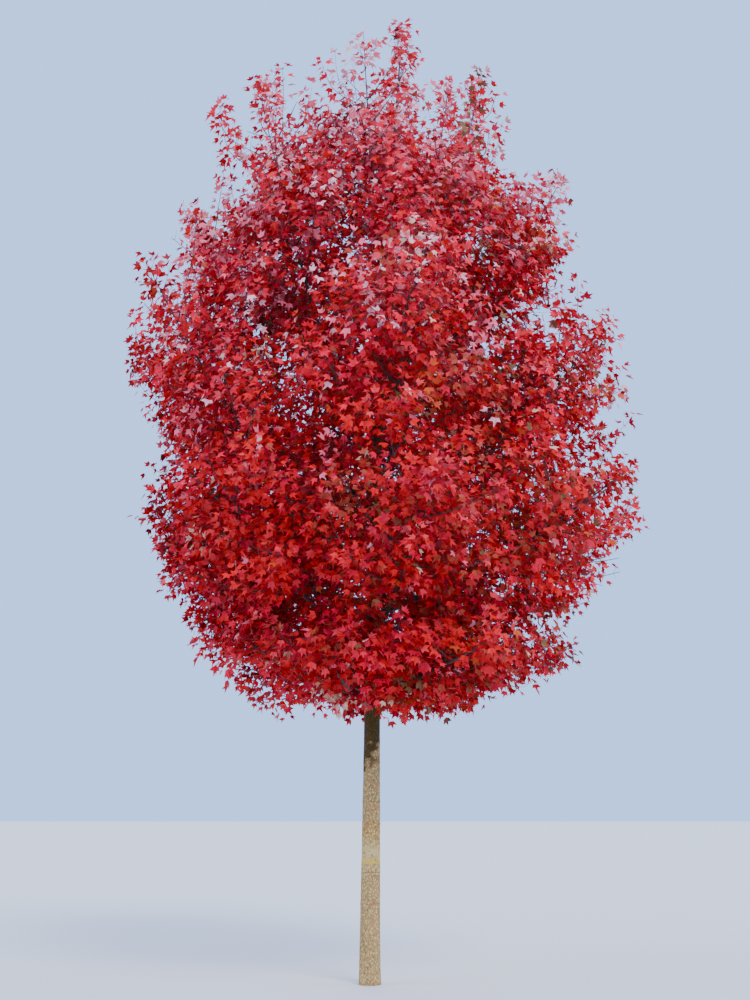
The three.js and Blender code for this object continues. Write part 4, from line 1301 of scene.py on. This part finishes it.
class TREE_OT_set_stage(Operator):
    """Lay the plain floor, and place the soft lights and the camera"""

    bl_idname = "tree.set_stage"
    bl_label = "Set Stage"

    def execute(self, context):
        stage = context.scene.tree_stage
        half = stage.floor_size / 2
        corners = np.array([(-half, -half, 0), (half, -half, 0), (half, half, 0), (-half, half, 0)])
        material, _ = new_material("floor", stage.floor_colour, FLOOR_ROUGHNESS)
        floor = add_mesh("floor", corners, np.array([(0, 1, 2), (0, 2, 3)]), [material])
        floor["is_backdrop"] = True
        world = bpy.data.worlds.new("surroundings")
        world.use_nodes = True
        background = world.node_tree.nodes["Background"]
        background.inputs["Color"].default_value = (*stage.sky_colour, 1)
        background.inputs["Strength"].default_value = stage.sky_strength
        context.scene.world = world
        for name, azimuth, elevation, strength, softness in SUNS:
            sun = bpy.data.lights.new(name, "SUN")
            sun.energy = strength * (stage.key_strength if name == "key" else stage.fill_strength)
            sun.angle = math.radians(softness)
            lamp = bpy.data.objects.new(name, sun)
            turn, rise = math.radians(azimuth), math.radians(elevation)
            level = math.cos(rise)
            towards = Vector((math.sin(turn) * level, -math.cos(turn) * level, math.sin(rise)))
            lamp.rotation_mode = "QUATERNION"
            lamp.rotation_quaternion = towards.to_track_quat("Z", "Y")
            lamp.location = towards * SUN_DISTANCE
            context.scene.collection.objects.link(lamp)
        camera = bpy.data.cameras.new("camera")
        camera.lens = stage.camera_lens
        camera.clip_end = stage.floor_size
        eye = bpy.data.objects.new("camera", camera)
        eye.location = (stage.camera_aside, -stage.camera_distance, stage.camera_height)
        eye.rotation_euler = (math.pi / 2 + stage.camera_pitch, 0, 0)
        context.scene.collection.objects.link(eye)
        context.scene.camera = eye
        return {"FINISHED"}


class TREE_OT_dress_trunk(Operator):
    """Replace the plain stem with one that has the bark's relief and finish"""

    bl_idname = "tree.dress_trunk"
    bl_label = "Dress Trunk"

    def execute(self, context):
        look = context.scene.tree_bark
        corners, faces = trunk_skin(look.trunk_relief)
        stand_for(add_mesh("bark_trunk", corners, faces, [trunk_material(look)]), TRUNK_NODE)
        return {"FINISHED"}


class TREE_OT_dress_boughs(Operator):
    """Replace every plain bough with one that has the bark's relief and finish"""

    bl_idname = "tree.dress_boughs"
    bl_label = "Dress Boughs"

    def execute(self, context):
        look = context.scene.tree_bark
        material = bough_material(look)
        for limb in np.flatnonzero(LIMBS.bare):
            name = LIMBS.names[limb]
            corners, faces = bough_skin(limb, look.bough_relief)
            stand_for(add_mesh(f"bark_{name}", corners, faces, [material]), BOUGH_NODE + name)
        return {"FINISHED"}


def mass_stem(limb):
    """One tube for the stem of a mass, from its bough's tip to its own end."""
    share = np.linspace(LIMBS.bare[limb], 1, STEM_RINGS)
    rows = np.full(STEM_RINGS, limb)
    radii = LIMBS.radius(rows, share) * mix(1, STEM_THINNED, share**THINNED_POWER)
    return tubes(LIMBS.point(rows, share)[None], np.array([STEM_RINGS]), radii[None], STEM_SIDES)


def twig_radii(twigs):
    share = np.arange(twigs.points.shape[1]) / np.maximum(twigs.counts - 1, 1)[:, None]
    return mix(twigs.root[:, None], twigs.tip, np.minimum(share, 1) ** TWIG_TAPER)


class TREE_OT_grow_twigs(Operator):
    """Grow the twigs and shoots of every mass on from its limb"""

    bl_idname = "tree.grow_twigs"
    bl_label = "Grow Twigs"

    def execute(self, context):
        look, leaves = context.scene.tree_bark, context.scene.tree_leaves
        materials = [new_material("old_twig", look.old_twig_colour, OLD_ROUGHNESS)[0],
                     new_material("new_shoot", look.new_twig_colour, NEW_ROUGHNESS)[0]]
        wood = crown_wood(leaves.shoot_step, leaves.shoot_length)
        for limb, name in enumerate(LIMBS.names):
            parts = [(*mass_stem(limb), 0)]
            for kind, (sides, young) in TUBES.items():
                own = wood[kind].keep(wood[kind].mass == limb)
                if young:
                    own = own.coarser()
                if len(own.counts):
                    parts.append((*tubes(own.points, own.counts, twig_radii(own), sides), young))
            first = np.cumsum([0] + [len(corners) for corners, _, _ in parts])
            corners = np.concatenate([corners for corners, _, _ in parts])
            choice = np.concatenate([np.full(len(faces), young) for _, faces, young in parts])
            faces = np.concatenate([faces + start for (_, faces, _), start in zip(parts, first)])
            piece = add_mesh(f"twigs_{name}", corners, faces, materials, choice)
            stand_for(piece, MASS_NODE + name)
        return {"FINISHED"}


class TREE_OT_grow_leaves(Operator):
    """Hang the leaves on the shoots of every mass, in the tints dealt out to their sprays"""

    bl_idname = "tree.grow_leaves"
    bl_label = "Grow Leaves"

    def execute(self, context):
        tints, sizes = context.scene.tree_tints, context.scene.tree_leaves
        finish = (LEAF_ROUGHNESS, LEAF_GLOSS)
        materials = [new_material(f"leaf_{name}", getattr(tints, name), *finish)[0] for name in TINTS]
        leaves = crown_leaves(sizes.shoot_step, sizes.shoot_length, sizes.leaf_step, sizes.leaf_size)
        flat, fan = leaf_pattern()
        stalk = len(flat)
        pattern = np.concatenate([fan, [(0, stalk, stalk + 1)]])
        for limb, name in enumerate(LIMBS.names):
            rows = np.flatnonzero(leaves.mass == limb)
            corners = leaves.corners(rows)
            first = np.arange(len(rows))[:, None, None] * corners.shape[1]
            faces = (pattern + first).reshape(-1, 3)
            corners = corners.reshape(-1, 3)
            choice = np.repeat(leaves.tint[rows], len(pattern))
            piece = add_mesh(f"leaves_{name}", corners, faces, materials, choice, smooth=False)
            stand_for(piece, MASS_NODE + name)
        return {"FINISHED"}


class VIEW3D_PT_tree(Panel):
    """The tree's sizes and colours, and the steps that build it"""

    bl_label = "Autumn Tree"
    bl_space_type = "VIEW_3D"
    bl_region_type = "UI"
    bl_category = "Tree"

    def draw(self, context):
        for step in STEPS:
            self.layout.operator(step.bl_idname)
        for name, group in SETTINGS.items():
            box = self.layout.box()
            box.label(text=group.__doc__)
            for setting in group.__annotations__:
                box.prop(getattr(context.scene, name), setting)


SETTINGS = {
    "tree_bark": TreeBark,
    "tree_leaves": TreeLeaves,
    "tree_tints": TreeTints,
    "tree_stage": TreeStage,
}
STEPS = (
    TREE_OT_set_stage,
    TREE_OT_dress_trunk,
    TREE_OT_dress_boughs,
    TREE_OT_grow_twigs,
    TREE_OT_grow_leaves,
)


def register():
    for kind in (*SETTINGS.values(), *STEPS, VIEW3D_PT_tree):
        bpy.utils.register_class(kind)
    for name, group in SETTINGS.items():
        setattr(bpy.types.Scene, name, PointerProperty(type=group))


def unregister():
    for name in SETTINGS:
        delattr(bpy.types.Scene, name)
    for kind in (VIEW3D_PT_tree, *reversed(STEPS), *reversed(SETTINGS.values())):
        bpy.utils.unregister_class(kind)


def main():
    register()
    bpy.ops.tree.set_stage()
    bpy.ops.tree.dress_trunk()
    bpy.ops.tree.dress_boughs()
    bpy.ops.tree.grow_twigs()
    bpy.ops.tree.grow_leaves()
    made = [list(corner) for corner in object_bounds()]


if __name__ == "__main__":
    main()
